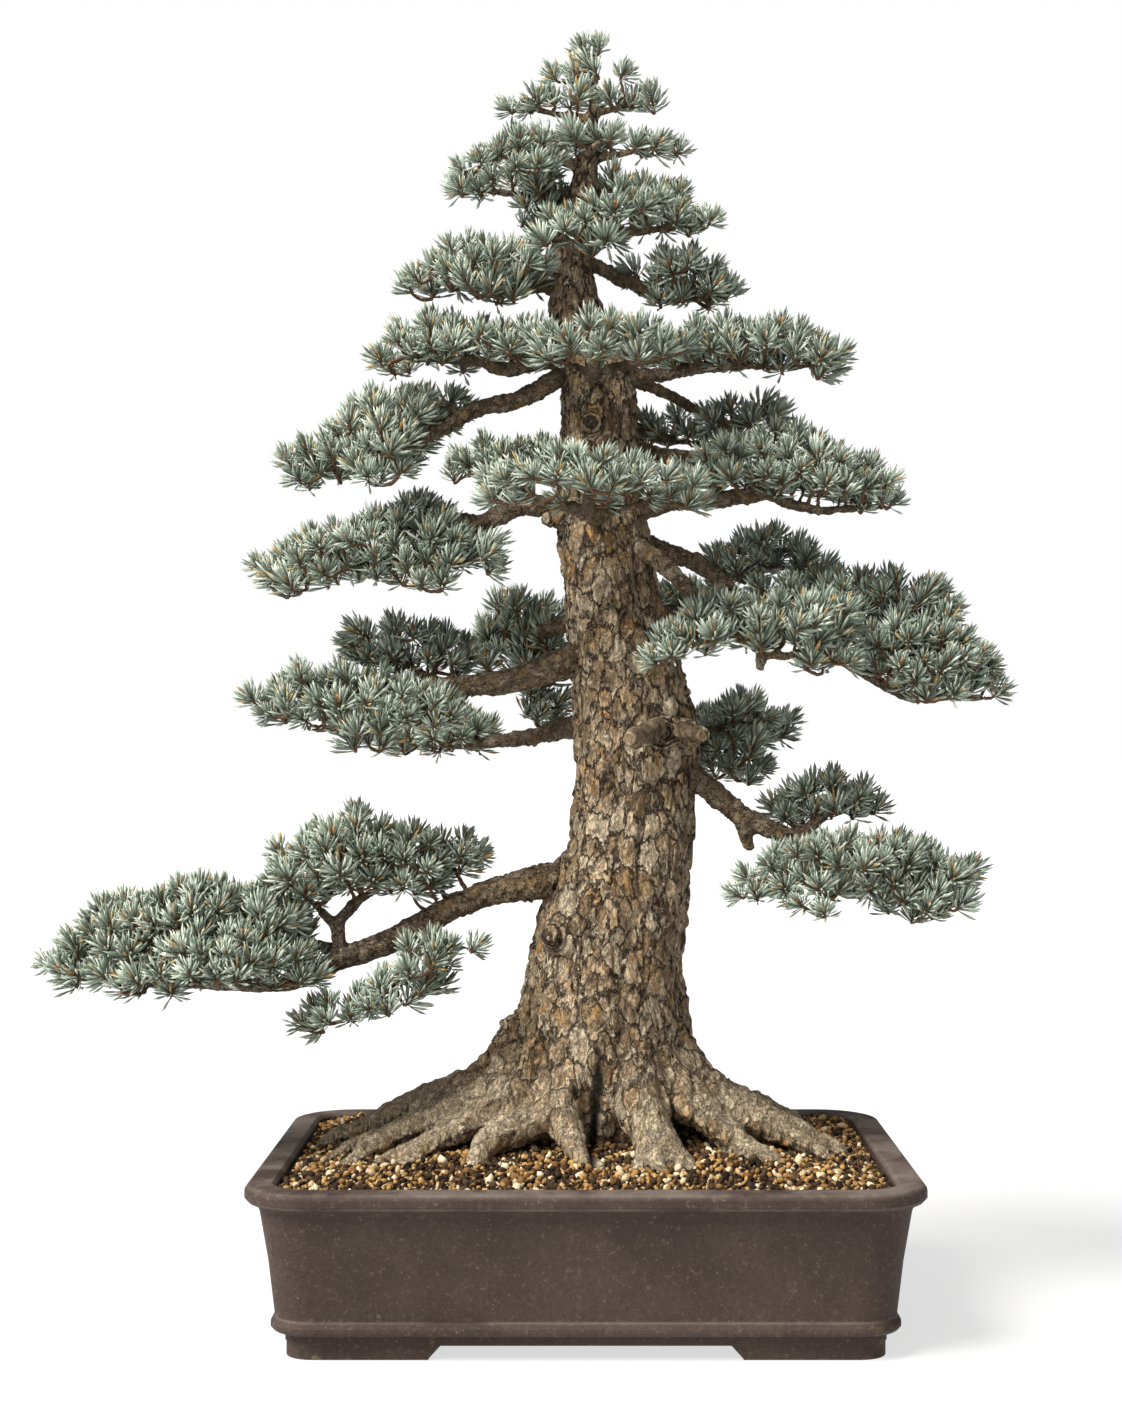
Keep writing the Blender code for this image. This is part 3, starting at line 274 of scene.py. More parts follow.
@dataclass(frozen=True)
class BarkFinish:
    """Scaly bark. The mesh holds, from 0 to 1, the painted shade in its fissures, cracks and creases, age and pale,
    and scar, the metres to a knot's eye.
    """

    name: str
    plate: Colour = (0.390, 0.265, 0.142)
    dull: Colour = (0.215, 0.139, 0.073)
    ochre: Colour = (0.460, 0.235, 0.062)
    # Pale ash grey: pale plates and flecks, and the painted highlight on the plates' raised lower edges.
    ash_and_highlight: Colour = (0.700, 0.580, 0.410)
    # Near black: dark flecks and streaks, and the painted shade in the bark's cracks, fissures and creases.
    crack: Colour = (0.009, 0.005, 0.0025)
    old_root: Colour = (0.480, 0.385, 0.255)
    young: Colour = (0.195, 0.132, 0.086)
    plate_size: float = 0.0128
    squat: float = 0.60
    flake_size: float = 0.0042
    warp: float = 0.0145
    relief: float = 0.0036
    ring: float = 0.0026
    eye: float = 0.0145

    def build(self) -> bpy.types.Material:
        """Makes the bark material."""
        sheet = NodeSheet(self.name, 0.85)
        fissure, age, pale = (sheet.attribute(name) for name in ("fissure", "age", "pale"))
        tall = sheet.place((1.0, 1.0, self.squat))
        waves = {"Scale": 62.0, "Detail": 4.0, "Roughness": 0.62}
        drift = sheet.node("ShaderNodeTexNoise", sockets=waves, out="Color")
        warped = {0: drift, 1: (self.warp,) * 3, 2: tall}
        bent = sheet.node("ShaderNodeVectorMath", {"operation": "MULTIPLY_ADD"}, warped)
        plates, flakes = 1 / self.plate_size, 1 / self.flake_size
        edge = sheet.cells(plates, "DISTANCE_TO_EDGE", bent)
        chance = sheet.cells(plates, at=bent, out="Color")
        bright, stain = sheet.part(chance, 0), sheet.part(chance, 1)
        tilt = (sheet.part(sheet.cells(plates, at=bent, out="Position"), 2) - sheet.part(bent, 2)) * plates
        flake_edge = sheet.cells(flakes, "DISTANCE_TO_EDGE", bent)
        flake = sheet.part(sheet.cells(flakes, at=bent, out="Color"), 0)
        fine = sheet.noise(520.0, 5.0, 0.7, tall)
        blot = sheet.noise(150.0, 5.0, 0.65)
        streak = sheet.noise(300.0, 4.0, 0.65, sheet.place((1.0, 1.0, 0.20)))
        scaly = 1 - 0.75 * pale
        # Painted shade: dark lines in the cracks between the plates, where the bump sinks.
        gap = edge.step(0.095, 0.020) * (0.35 + 0.65 * blot.step(0.36, 0.54)) * scaly
        colour = sheet.mix(sheet.noise(38.0, 4.0).step(0.36, 0.64), self.plate, self.dull)
        for share, tint in (
            (bright.step(0.40, 1.0) * 0.60, self.ash_and_highlight),
            (bright.step(0.40, 0.0) * 0.45, self.dull),
            (stain.step(0.62, 0.90) * blot.step(0.42, 0.60) * 0.75, self.ochre),
            (age * 0.75, self.young),
            (pale * 0.70, self.old_root),
            (flake.step(0.45, 1.0) * 0.30, self.ash_and_highlight),
            (flake.step(0.45, 0.0) * 0.30, self.crack),
            # Painted highlight on the plates' raised lower edges.
            (edge.step(0.30, 0.10) * tilt.step(-0.1, 0.4) * 0.45, self.ash_and_highlight),
            # Painted shade in the fine cracks between the flakes.
            (flake_edge.step(0.13, 0.0) * 0.42, self.crack),
            (fine.step(0.48, 0.30) * 0.70, self.crack),
            (fine.step(0.55, 0.70) * 0.45, self.ash_and_highlight),
            (streak.step(0.47, 0.34) * 0.45, self.crack),
            # Painted shade in the cracks between the plates.
            (gap * 0.92, self.crack),
        ):
            colour = sheet.mix(share, colour, tint)
        eye, rings = self._knot(sheet)
        colour = sheet.mix(eye * rings.step(0.25, -0.35) * 0.85, colour, self.crack)
        # Painted shade: the near-black crack colour laid into the fissures, cracks, creases and root cleft that the
        # mesh marks.
        colour = sheet.mix(fissure.step(0.12, 0.85) * 0.92, colour, self.crack)
        sheet.connect("Base Color", colour)
        sheet.connect("Roughness", 0.72 + 0.2 * fine)
        shingle = edge.step(0.0, 0.10) * (0.40 + 0.45 * bright + 0.75 * tilt) * scaly * (1 - eye)
        scurf = flake_edge.step(0.0, 0.15) * (0.12 + 0.20 * flake)
        sheet.bump(shingle + scurf + 0.30 * fine + 0.22 * streak + 0.30 * eye * rings, self.relief)
        return sheet.material

    def _knot(self, sheet: NodeSheet) -> tuple[Value, Value]:
        """The share of each place that belongs to a knot's eye, and the eye's rings from -1 to 1.

        Args:
            sheet: the bark's nodes.

        Returns:
            The share and the rings.
        """
        reach = sheet.attribute("scar") + 0.0016 * sheet.noise(160.0, 2.0)
        rings = sheet.node("ShaderNodeMath", {"operation": "SINE"}, {0: reach * (math.tau / self.ring)})
        return reach.step(self.eye, self.eye - 0.0040), rings


@dataclass(frozen=True)
class NeedleFinish:
    """Waxy needles. The UV map holds the needle's tone across and the way along it up."""

    name: str = "needle_wax"
    # The darkest needle tone, and the painted shade towards the needles' bases.
    deep: Colour = (0.050, 0.062, 0.037)
    blue_green: Colour = (0.232, 0.285, 0.222)
    glaucous: Colour = (0.660, 0.720, 0.600)
    aged: Colour = (0.420, 0.270, 0.105)
    heel: Colour = (0.130, 0.095, 0.040)
    tip: Colour = (0.460, 0.400, 0.230)

    def build(self) -> bpy.types.Material:
        """Makes the needle material."""
        sheet = NodeSheet(self.name, 0.46, gloss=0.35)
        where = sheet.node("ShaderNodeUVMap")
        across, along = sheet.part(where, 0), sheet.part(where, 1)
        ramp = sheet.node(
            "ShaderNodeValToRGB",
            {"stops": ((0.0, self.deep), (0.45, self.blue_green), (0.92, self.glaucous), (0.97, self.aged))},
            {0: across},
        )
        # Painted shade: darker towards the needles' bases, deep inside the tuft.
        colour = sheet.mix(along.step(0.62, 0.10) * 0.62, ramp, self.deep)
        colour = sheet.mix(along.step(0.20, 0.0) * 0.7, colour, self.heel)
        colour = sheet.mix(along.step(0.90, 1.0) * 0.7, colour, self.tip)
        sheet.connect("Base Color", colour)
        return sheet.material


@dataclass(frozen=True)
class TwigFinish:
    """Young wood and buds, where the mesh's age is 0 on grey wood and 1 on an orange bud."""

    name: str
    wood: Colour = (0.085, 0.054, 0.034)
    bud: Colour = (0.460, 0.215, 0.075)

    def build(self) -> bpy.types.Material:
        """Makes the twig material."""
        sheet = NodeSheet(self.name, 0.75)
        speck = sheet.noise(700.0, 3.0)
        colour = sheet.mix(sheet.attribute("age"), self.wood, self.bud)
        colour = sheet.mix(speck.step(0.60, 0.35) * 0.5, colour, (0.030, 0.017, 0.011))
        colour = sheet.mix(speck.step(0.60, 0.72) * 0.35, colour, (0.42, 0.30, 0.18))
        sheet.connect("Base Color", colour)
        sheet.bump(speck, 0.0004)
        return sheet.material


@dataclass(frozen=True)
class GrainFinish:
    """One kind of grit, where the mesh's tone runs from its dark to its light grains."""

    name: str
    dark: Colour
    light: Colour

    def build(self) -> bpy.types.Material:
        """Makes the grit material."""
        sheet = NodeSheet(self.name, 0.88)
        speck = sheet.noise(900.0, 3.0, 0.65)
        colour = sheet.mix(sheet.attribute("tone"), self.dark, self.light)
        colour = sheet.mix(speck.step(0.55, 0.33) * 0.5, colour, tuple(0.35 * c for c in self.dark))
        sheet.connect("Base Color", colour)
        sheet.bump(speck, 0.0005)
        return sheet.material


@dataclass(frozen=True)
class StonewareFinish:
    """Unglazed stoneware: even brown body, pale flecks, old lime at the feet, pale worn bands at the moulding edges
    that also paint their highlights, and a painted highlight on the rim's top.
    """

    name: str = "unglazed_stoneware"
    body: Colour = (0.046, 0.029, 0.023)
    warm: Colour = (0.066, 0.044, 0.035)
    fleck: Colour = (0.230, 0.185, 0.145)
    pit: Colour = (0.026, 0.018, 0.016)
    lime: Colour = (0.250, 0.185, 0.085)
    # The worn colour, also used for the painted highlights at the moulding edges and the rim's top.
    wear_and_highlight: Colour = (0.215, 0.175, 0.145)
    edges: tuple[float, ...] = (0.0275, 0.1085)

    def build(self) -> bpy.types.Material:
        """Makes the stoneware material."""
        sheet = NodeSheet(self.name, 0.5)
        height = sheet.part(sheet.place(), 2)
        cloud = sheet.noise(14.0, 5.0, 0.6)
        grain = sheet.noise(900.0, 4.0, 0.7)
        colour = sheet.mix(cloud.step(0.35, 0.68), self.body, self.warm)
        mottle = sheet.noise(240.0, 6.0, 0.80)
        colour = sheet.mix(mottle.step(0.54, 0.70) * 0.42, colour, self.fleck)
        colour = sheet.mix(mottle.step(0.48, 0.32) * 0.60, colour, self.pit)
        colour = sheet.mix(grain.step(0.60, 0.72) * 0.55, colour, self.fleck)
        colour = sheet.mix(grain.step(0.42, 0.30) * 0.6, colour, self.pit)
        flecks = sheet.cells(230.0).step(0.13, 0.07) * sheet.noise(60.0).step(0.48, 0.62)
        colour = sheet.mix(flecks * 0.8, colour, self.fleck)
        blotch = sheet.noise(75.0, 5.0, 0.65)
        colour = sheet.mix(blotch.step(0.60, 0.72) * height.step(0.034, 0.004) * 0.6, colour, self.lime)
        # Pale bands along the moulding edges: wear, and painted highlights where the edges catch the light.
        wear_and_highlight = None
        for edge in self.edges:
            band = height.step(edge - 0.0016, edge) * height.step(edge + 0.0016, edge)
            wear_and_highlight = band if wear_and_highlight is None else wear_and_highlight + band
        colour = sheet.mix((wear_and_highlight * cloud.step(0.3, 0.6)).clipped() * 0.45, colour, self.wear_and_highlight)
        # Painted highlight: the top of the rim made lighter, as if lit.
        rim_top_highlight = height.step(POT_HIGH.z - 0.0035, POT_HIGH.z - 0.0005)
        colour = sheet.mix(rim_top_highlight * sheet.noise(30.0, 4.0).step(0.30, 0.65) * 0.60, colour, self.wear_and_highlight)
        sheet.connect("Base Color", colour)
        sheet.connect("Roughness", (0.46 + 0.24 * cloud + 0.18 * grain).clipped())
        sheet.bump(grain * 0.4 + mottle * 0.9 + sheet.noise(120.0, 3.0) * 0.9, 0.0006)
        return sheet.material


@dataclass(frozen=True)
class PlainFinish:
    """One colour with a fine mottle, for what hardly shows."""

    name: str
    colour: Colour
    mottle: Colour
    roughness: float = 0.6
    scale: float = 300.0

    def build(self) -> bpy.types.Material:
        """Makes the material."""
        sheet = NodeSheet(self.name, self.roughness)
        speck = sheet.noise(self.scale, 4.0)
        sheet.connect("Base Color", sheet.mix(speck.step(0.35, 0.65), self.colour, self.mottle))
        sheet.bump(speck, 0.0006)
        return sheet.material


# ---------------------------------------------------------------- mesh helpers


def pick_only(piece: bpy.types.Object) -> None:
    """Leaves this one object selected and active, in object mode."""
    if bpy.context.mode != "OBJECT":
        bpy.ops.object.mode_set(mode="OBJECT")
    bpy.ops.object.select_all(action="DESELECT")
    piece.select_set(True)
    bpy.context.view_layer.objects.active = piece


def welded_copy(node: str, name: str) -> bpy.types.Object:
    """A copy of a CAD node with its loose triangles joined.

    Args:
        node: the CAD node.
        name: the new piece's name.

    Returns:
        The piece, with no material.
    """
    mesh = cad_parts[node].data.copy()
    mesh.name = name
    mesh.materials.clear()
    piece = bpy.data.objects.new(name, mesh)
    bpy.context.scene.collection.objects.link(piece)
    pick_only(piece)
    bpy.ops.object.mode_set(mode="EDIT")
    bpy.ops.mesh.select_all(action="SELECT")
    bpy.ops.mesh.remove_doubles(threshold=1e-5)
    bpy.ops.mesh.customdata_custom_splitnormals_clear()
    bpy.ops.object.mode_set(mode="OBJECT")
    return piece


def apply_modifier(piece: bpy.types.Object, kind: str, **settings: object) -> None:
    """Adds a modifier with these settings and applies it.

    Args:
        piece: the piece.
        kind: the modifier's type.
        settings: its properties.
    """
    pick_only(piece)
    modifier = piece.modifiers.new(kind.lower(), kind)
    for key, setting in settings.items():
        setattr(modifier, key, setting)
    bpy.ops.object.modifier_apply(modifier=modifier.name)


def fine_skin(piece: bpy.types.Object, voxel: float, rounds: int) -> None:
    """Gives a piece an even fine mesh and rounds its facets off.

    Args:
        piece: a closed piece.
        voxel: the mesh's spacing in metres.
        rounds: how many times it is smoothed.
    """
    apply_modifier(piece, "REMESH", mode="VOXEL", voxel_size=voxel)
    apply_modifier(piece, "SMOOTH", factor=0.5, iterations=rounds)


def thin_out(piece: bpy.types.Object, most: int) -> None:
    """Thins a piece to at most that many triangles, where it is flattest.

    Args:
        piece: the piece.
        most: the most triangles it may have.
    """
    faces = sum(len(face.vertices) - 2 for face in piece.data.polygons)
    if faces > most:
        apply_modifier(piece, "DECIMATE", ratio=most / faces)


def nearest_rows(known: Array, asked: Array) -> Array:
    """For each asked point, the number of the nearest known point.

    Args:
        known: points, one to a row.
        asked: points, one to a row.

    Returns:
        A row number of known for each row of asked.
    """
    tree = KDTree(len(known))
    for i, point in enumerate(known):
        tree.insert(point, i)
    tree.balance()
    return np.array([tree.find(point)[1] for point in asked])


def points_of(mesh: bpy.types.Mesh) -> Array:
    """The mesh's points, one to a row."""
    found = np.empty(len(mesh.vertices) * 3)
    mesh.vertices.foreach_get("co", found)
    return found.reshape(-1, 3)


def set_points(mesh: bpy.types.Mesh, points: Array) -> None:
    """Moves the mesh's points, one to a row."""
    mesh.vertices.foreach_set("co", points.astype(np.float32).ravel())
    mesh.update()


def normals_of(mesh: bpy.types.Mesh) -> Array:
    """The normals at the mesh's points."""
    found = np.empty(len(mesh.vertices) * 3)
    mesh.vertex_normals.foreach_get("vector", found)
    return found.reshape(-1, 3)


def write_values(mesh: bpy.types.Mesh, name: str, values: Array) -> None:
    """Stores a number for each point of the mesh."""
    made = mesh.attributes.new(name, "FLOAT", "POINT")
    made.data.foreach_set("value", np.ascontiguousarray(values, np.float32))


def write_bark(mesh: bpy.types.Mesh, fissure: Array | float, scar: Array | float, age: Array | float,
               pale: Array | float) -> None:
    """Stores what the bark finish reads at each point of the mesh.

    Args:
        mesh: the mesh.
        fissure: how much painted shade darkens it in its cracks, fissures and creases, from 0 to 1.
        scar: the metres to the eye of the nearest knot.
        age: 0 on old bark, 1 on young.
        pale: how much of it takes the pale colour, from 0 to 1: on the trunk most where its roots face up, on a stub
            its cut end.
    """
    for name, values in {"fissure": fissure, "scar": scar, "age": age, "pale": pale}.items():
        write_values(mesh, name, np.broadcast_to(values, len(mesh.vertices)))


def tree_of(node: str) -> BVHTree:
    """A CAD node's surface, for finding what is near it."""
    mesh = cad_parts[node].data
    return BVHTree.FromPolygons([v.co for v in mesh.vertices], [p.vertices for p in mesh.polygons])


def lies_inside(surface: BVHTree, place: Vector) -> bool:
    """Whether a place is inside a closed surface, by how often a ray up and a ray aside cross it.

    Args:
        surface: the closed surface.
        place: the place.

    Returns:
        True where both rays cross it an odd number of times.
    """
    for way in (Vector((0.031, 0.017, 1.0)), Vector((1.0, 0.023, 0.037))):
        crossings, start = 0, place.copy()
        while True:
            hit, _, _, _ = surface.ray_cast(start, way.normalized())
            if hit is None:
                break
            crossings, start = crossings + 1, hit + way.normalized() * 1e-6
        if crossings % 2 == 0:
            return False
    return True


@dataclass
class Shape:
    """A small triangle mesh that is modelled once and copied many times."""

    points: Array
    triangles: Array

    @classmethod
    def taken_from(cls, piece: bpy.types.Object) -> "Shape":
        """Reads a modelled object into a shape and removes the object."""
        pick_only(piece)
        bpy.ops.object.mode_set(mode="EDIT")
        bpy.ops.mesh.select_all(action="SELECT")
        bpy.ops.mesh.normals_make_consistent(inside=False)
        bpy.ops.mesh.quads_convert_to_tris()
        bpy.ops.object.mode_set(mode="OBJECT")
        bpy.ops.object.transform_apply()
        corners = np.array([tuple(face.vertices) for face in piece.data.polygons])
        shape = cls(points_of(piece.data), corners)
        bpy.data.objects.remove(piece)
        return shape


@dataclass
class Heap:
    """Many placed copies of shapes, gathered into one mesh."""

    name: str
    points: list[Array] = field(default_factory=list)
    triangles: list[Array] = field(default_factory=list)
    values: dict[str, list[Array]] = field(default_factory=dict)
    uv: list[Array] = field(default_factory=list)
    count: int = 0

    def add(self, points: Array, triangles: Array, uv: Array | None = None, **values: float | Array) -> None:
        """Adds one copy.

        Args:
            points: its points in place.
            triangles: its corners, numbered from 0.
            uv: a UV place for each point.
            values: a number, or one for each point, for each attribute.
        """
        self.points.append(points)
        self.triangles.append(triangles + self.count)
        for key, value in values.items():
            self.values.setdefault(key, []).append(np.broadcast_to(value, len(points)))
        if uv is not None:
            self.uv.append(uv)
        self.count += len(points)

    def finished(self, smooth: bool = True) -> bpy.types.Object:
        """Makes the object at the origin, with smooth or flat faces."""
        points, triangles = np.concatenate(self.points), np.concatenate(self.triangles).astype(np.int32)
        mesh = bpy.data.meshes.new(self.name)
        mesh.vertices.add(len(points))
        mesh.vertices.foreach_set("co", points.astype(np.float32).ravel())
        mesh.loops.add(triangles.size)
        mesh.loops.foreach_set("vertex_index", triangles.ravel())
        mesh.polygons.add(len(triangles))
        mesh.polygons.foreach_set("loop_start", np.arange(0, triangles.size, 3, dtype=np.int32))
        mesh.update(calc_edges=True)
        for key, parts in self.values.items():
            write_values(mesh, key, np.concatenate(parts))
        if self.uv:
            layer = mesh.uv_layers.new(name="along_the_needle")
            layer.uv.foreach_set("vector", np.concatenate(self.uv)[triangles.ravel()].astype(np.float32).ravel())
        if smooth:
            mesh.shade_smooth()
        piece = bpy.data.objects.new(self.name, mesh)
        bpy.context.scene.collection.objects.link(piece)
        return piece


def dress(piece: bpy.types.Object, slot: Slot, *materials: bpy.types.Material, nodes: Iterable[str] = ()) -> None:
    """Gives a piece its materials, hides the CAD nodes it stands for, and attaches it to its body.

    Args:
        piece: the piece.
        slot: a material slot's name; not used.
        materials: its materials, in order.
        nodes: the CAD nodes that it replaces.
    """
    piece.data.materials.clear()
    for material in materials:
        piece.data.materials.append(material)
    if nodes:
        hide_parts(*nodes)
    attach(piece, "root")
    piece.data.calc_loop_triangles()
    log.info("%s: %d triangles", piece.name, len(piece.data.loop_triangles))


def rise(value: Array | float, low: float, high: float) -> Array | float:
    """A smooth rise from 0 at low to 1 at high.

    Args:
        value: a number or an array of them.
        low: where the rise starts.
        high: where it ends.

    Returns:
        The share from 0 to 1.
    """
    share = np.clip((value - low) / (high - low), 0, 1)
    return share * share * (3 - 2 * share)


def turned(points: Array, turn: Quaternion, scale: float, place: Vector) -> Array:
    """Points scaled, turned and moved.

    Args:
        points: points, one to a row.
        turn: the turn about the origin.
        scale: the factor on their size.
        place: where the origin goes.

    Returns:
        The points in place.
    """
    return points @ np.array((turn.to_matrix() * scale).transposed()) + np.array(place)


# ---------------------------------------------------------------- the pot


@dataclass
class Pot:
    """The stoneware pot, with the edges of its mouldings softened."""

    edge_radius: float = 0.0009
    sharp: float = math.radians(24)
    flat: float = math.radians(0.6)

    def build(self) -> None:
        """Models and dresses the pot."""
        pot = welded_copy("pot", "pot_stoneware")
        bpy.ops.object.mode_set(mode="EDIT")
        bpy.ops.mesh.select_all(action="SELECT")
        bpy.ops.mesh.dissolve_limited(angle_limit=self.flat)
        bpy.ops.object.mode_set(mode="OBJECT")
        apply_modifier(pot, "BEVEL", width=self.edge_radius, segments=2, limit_method="ANGLE",
                       angle_limit=self.sharp, miter_outer="MITER_ARC")
        apply_modifier(pot, "TRIANGULATE")
        pot.data.shade_smooth()
        apply_modifier(pot, "WEIGHTED_NORMAL", weight=80, keep_sharp=False)
        dress(pot, Slot.POT, StonewareFinish().build(), nodes=["pot"])
        screen = PlainFinish("screen_plastic", (0.012, 0.012, 0.013), (0.03, 0.03, 0.03), 0.5, 500.0).build()
        for name in ("drain_screen_left", "drain_screen_right"):
            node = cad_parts[name]
            node.data.materials.clear()
            node.data.materials.append(screen)


# ---------------------------------------------------------------- the growing mix


class Grit(Enum):
    """The kinds of grain in the mix: name, share, dark colour, light colour."""

    CLAY = ("grit_tan_clay", 0.38, (0.130, 0.056, 0.017), (0.560, 0.330, 0.115))
    LAVA = ("grit_dark_lava", 0.53, (0.009, 0.005, 0.003), (0.082, 0.047, 0.023))
    PUMICE = ("grit_pale_pumice", 0.09, (0.460, 0.320, 0.160), (0.830, 0.700, 0.480))


@dataclass
class Mix:
    """The soil's surface: a dark bed with loose grains of three kinds all over it."""

    spacing: float = 0.0033
    margin: float = 0.0245
    small: float = 0.0011
    large: float = 0.0040
    seed: int = 11

    def grain(self) -> Shape:
        """Models one grain."""
        bpy.ops.mesh.primitive_ico_sphere_add(subdivisions=1, radius=1.0)
        return Shape.taken_from(bpy.context.object)

    def build(self) -> None:
        """Models the bed and the grains."""
        bed = welded_copy("soil", "soil_bed")
        bed_finish = PlainFinish("soil_fines", (0.010, 0.006, 0.003), (0.050, 0.028, 0.014), 0.95, 420.0)
        bed.data.shade_flat()
        dress(bed, Slot.SOIL, bed_finish.build(), nodes=["soil"])
        rng = np.random.default_rng(self.seed)
        soil, trunk = tree_of("soil"), tree_of("trunk")
        shape = self.grain()
        heaps = {kind: Heap(kind.value[0]) for kind in Grit}
        low, high = POT_LOW + Vector((self.margin, self.margin, 0)), POT_HIGH - Vector((self.margin, self.margin, 0))
        for x in np.arange(low.x, high.x, self.spacing):
            for y in np.arange(low.y, high.y, self.spacing):
                at = Vector((x, y, 1.0)) + Vector((*rng.uniform(-0.5, 0.5, 2), 0)) * self.spacing
                if not self._inside_corners(at, low, high):
                    continue
                place, _, _, _ = soil.ray_cast(at - Vector((0, 0, 0.82)), Vector((0, 0, -1)))
                if place is None or place.z < POT_HIGH.z - 0.02:
                    continue
                wood, way, _, gap = trunk.find_nearest(place)
                if (place - wood).dot(way) < 0 or gap < 0.0006:
                    continue
                self._drop(place, shape, heaps, rng)
        for kind, heap in heaps.items():
            name, _, dark, light = kind.value
            dress(heap.finished(), Slot.SOIL, GrainFinish(name, dark, light).build())

    @staticmethod
    def _inside_corners(at: Vector, low: Vector, high: Vector, radius: float = 0.020) -> bool:
        """Whether a place lies inside the rim's round corners.

        Args:
            at: the place.
            low: the lowest corner of the open mix.
            high: its highest corner.
            radius: the corners' radius.

        Returns:
            True inside.
        """
        over_x = max(low.x + radius - at.x, at.x - high.x + radius, 0)
        over_y = max(low.y + radius - at.y, at.y - high.y + radius, 0)
        return math.hypot(over_x, over_y) <= radius

    def _drop(self, place: Vector, shape: Shape, heaps: dict, rng: np.random.Generator) -> None:
        """Lays one grain of a random kind and size at a place.

        Args:
            place: where it lands.
            shape: the grain.
            heaps: the heap of each kind.
            rng: the random numbers.
        """
        kind = list(Grit)[rng.choice(3, p=[kind.value[1] for kind in Grit])]
        size = self.small + (self.large - self.small) * rng.beta(1.5, 3.0)
        if kind is Grit.PUMICE:
            size *= 1.18
        stretch = rng.uniform((0.85, 0.65, 0.5), (1.5, 1.05, 0.85))
        lumps = shape.points * rng.uniform(0.82, 1.18, (len(shape.points), 1)) * stretch * size
        turn = Quaternion(rng.normal(size=4)).normalized()
        lift = Vector((0, 0, size * rng.uniform(0.0, 0.85)))
        heaps[kind].add(turned(lumps, turn, 1.0, place + lift), shape.triangles, tone=float(rng.random()))


# ---------------------------------------------------------------- bark


@dataclass
class Relief:
    """Bark worked out at each point of a fine skin: heights in metres, and the painted shade in its cracks, fissures
    and creases.
    """

    height: Array
    fissure: Array


@dataclass(frozen=True)
class PlatePattern:
    """Cracked plates: their width and length, how high they stand and how their surface varies."""

    width: float
    length: float
    height: float
    warp: float = 0.42
    crack: float = 0.09

    def at(self, place: Vector) -> tuple[float, float]:
        """The bark at a place in the pattern's own stretched space.

        Args:
            place: a point measured in plates, with the plates' length along z.

        Returns:
            The height from 0 to about 1.5, and the crack from 0 to 1.
        """
        bent = place + noise.noise_vector(place * 0.9) * self.warp + noise.noise_vector(place * 3.1) * 0.16
        near, seeds = noise.voronoi(bent)
        plate = float(rise(near[1] - near[0], 0.0, self.crack))
        tone = abs(noise.cell(seeds[0] * 7.31 + Vector((3.7, 1.9, 5.3))))
        lift = 0.75 * (seeds[0].z - bent.z)
        return plate * (0.45 + 0.75 * tone + lift), 1 - plate


@dataclass(frozen=True)
class Stub:
    """A side branch that was sawn off: where it leaves the trunk, where it ends, and its radius there."""

    start: tuple[float, float, float]
    end: tuple[float, float, float]
    radius: float
    heel: float = 1.55
    voxel: float = 0.0007

    def build(self, number: int) -> None:
        """Models and dresses the stub.

        Args:
            number: its number in its name.
        """
        start, end = ROOT_COLLAR + Vector(self.start), ROOT_COLLAR + Vector(self.end)
        way = end - start
        turn = way.to_track_quat("Z", "Y").to_euler()
        bpy.ops.object.select_all(action="DESELECT")
        bpy.ops.mesh.primitive_cone_add(vertices=24, radius1=self.radius * self.heel, radius2=self.radius,
                                        depth=way.length, location=(start + end) / 2, rotation=turn)
        stub = bpy.context.object
        stub.name = f"sawn_stub_{number}"
        bpy.ops.object.transform_apply(location=True, rotation=True, scale=True)
        bpy.ops.object.mode_set(mode="EDIT")
        shape = bmesh.from_edit_mesh(stub.data)
        for face in shape.faces:
            face.select = (face.calc_center_median() - end).length < self.radius * 0.4
        bmesh.update_edit_mesh(stub.data)
        bpy.ops.mesh.inset(thickness=self.radius * 0.22)
        bpy.ops.mesh.inset(thickness=self.radius * 0.30)
        bpy.ops.transform.translate(value=-0.0009 * way.normalized())
        bpy.ops.object.mode_set(mode="OBJECT")
        fine_skin(stub, self.voxel, 2)
        points, normals = points_of(stub.data), normals_of(stub.data)
        rough = np.array([noise.noise(p / 0.0045) * 0.0009 + noise.noise(p / 0.0016) * 0.0004
                          for p in map(Vector, points)])
        set_points(stub.data, points + normals * rough[:, None])
        cut = rise((points - np.array(end)) @ np.array(way.normalized()), -0.0016, -0.0004)
        write_bark(stub.data, 0.0, NO_KNOT, 0.1 * (1 - cut), cut)
        stub.data.shade_smooth()
        finish = BarkFinish("stub_bark", old_root=(0.55, 0.36, 0.17), plate_size=0.006, relief=0.0006)
        dress(stub, Slot.TRUNK, finish.build())


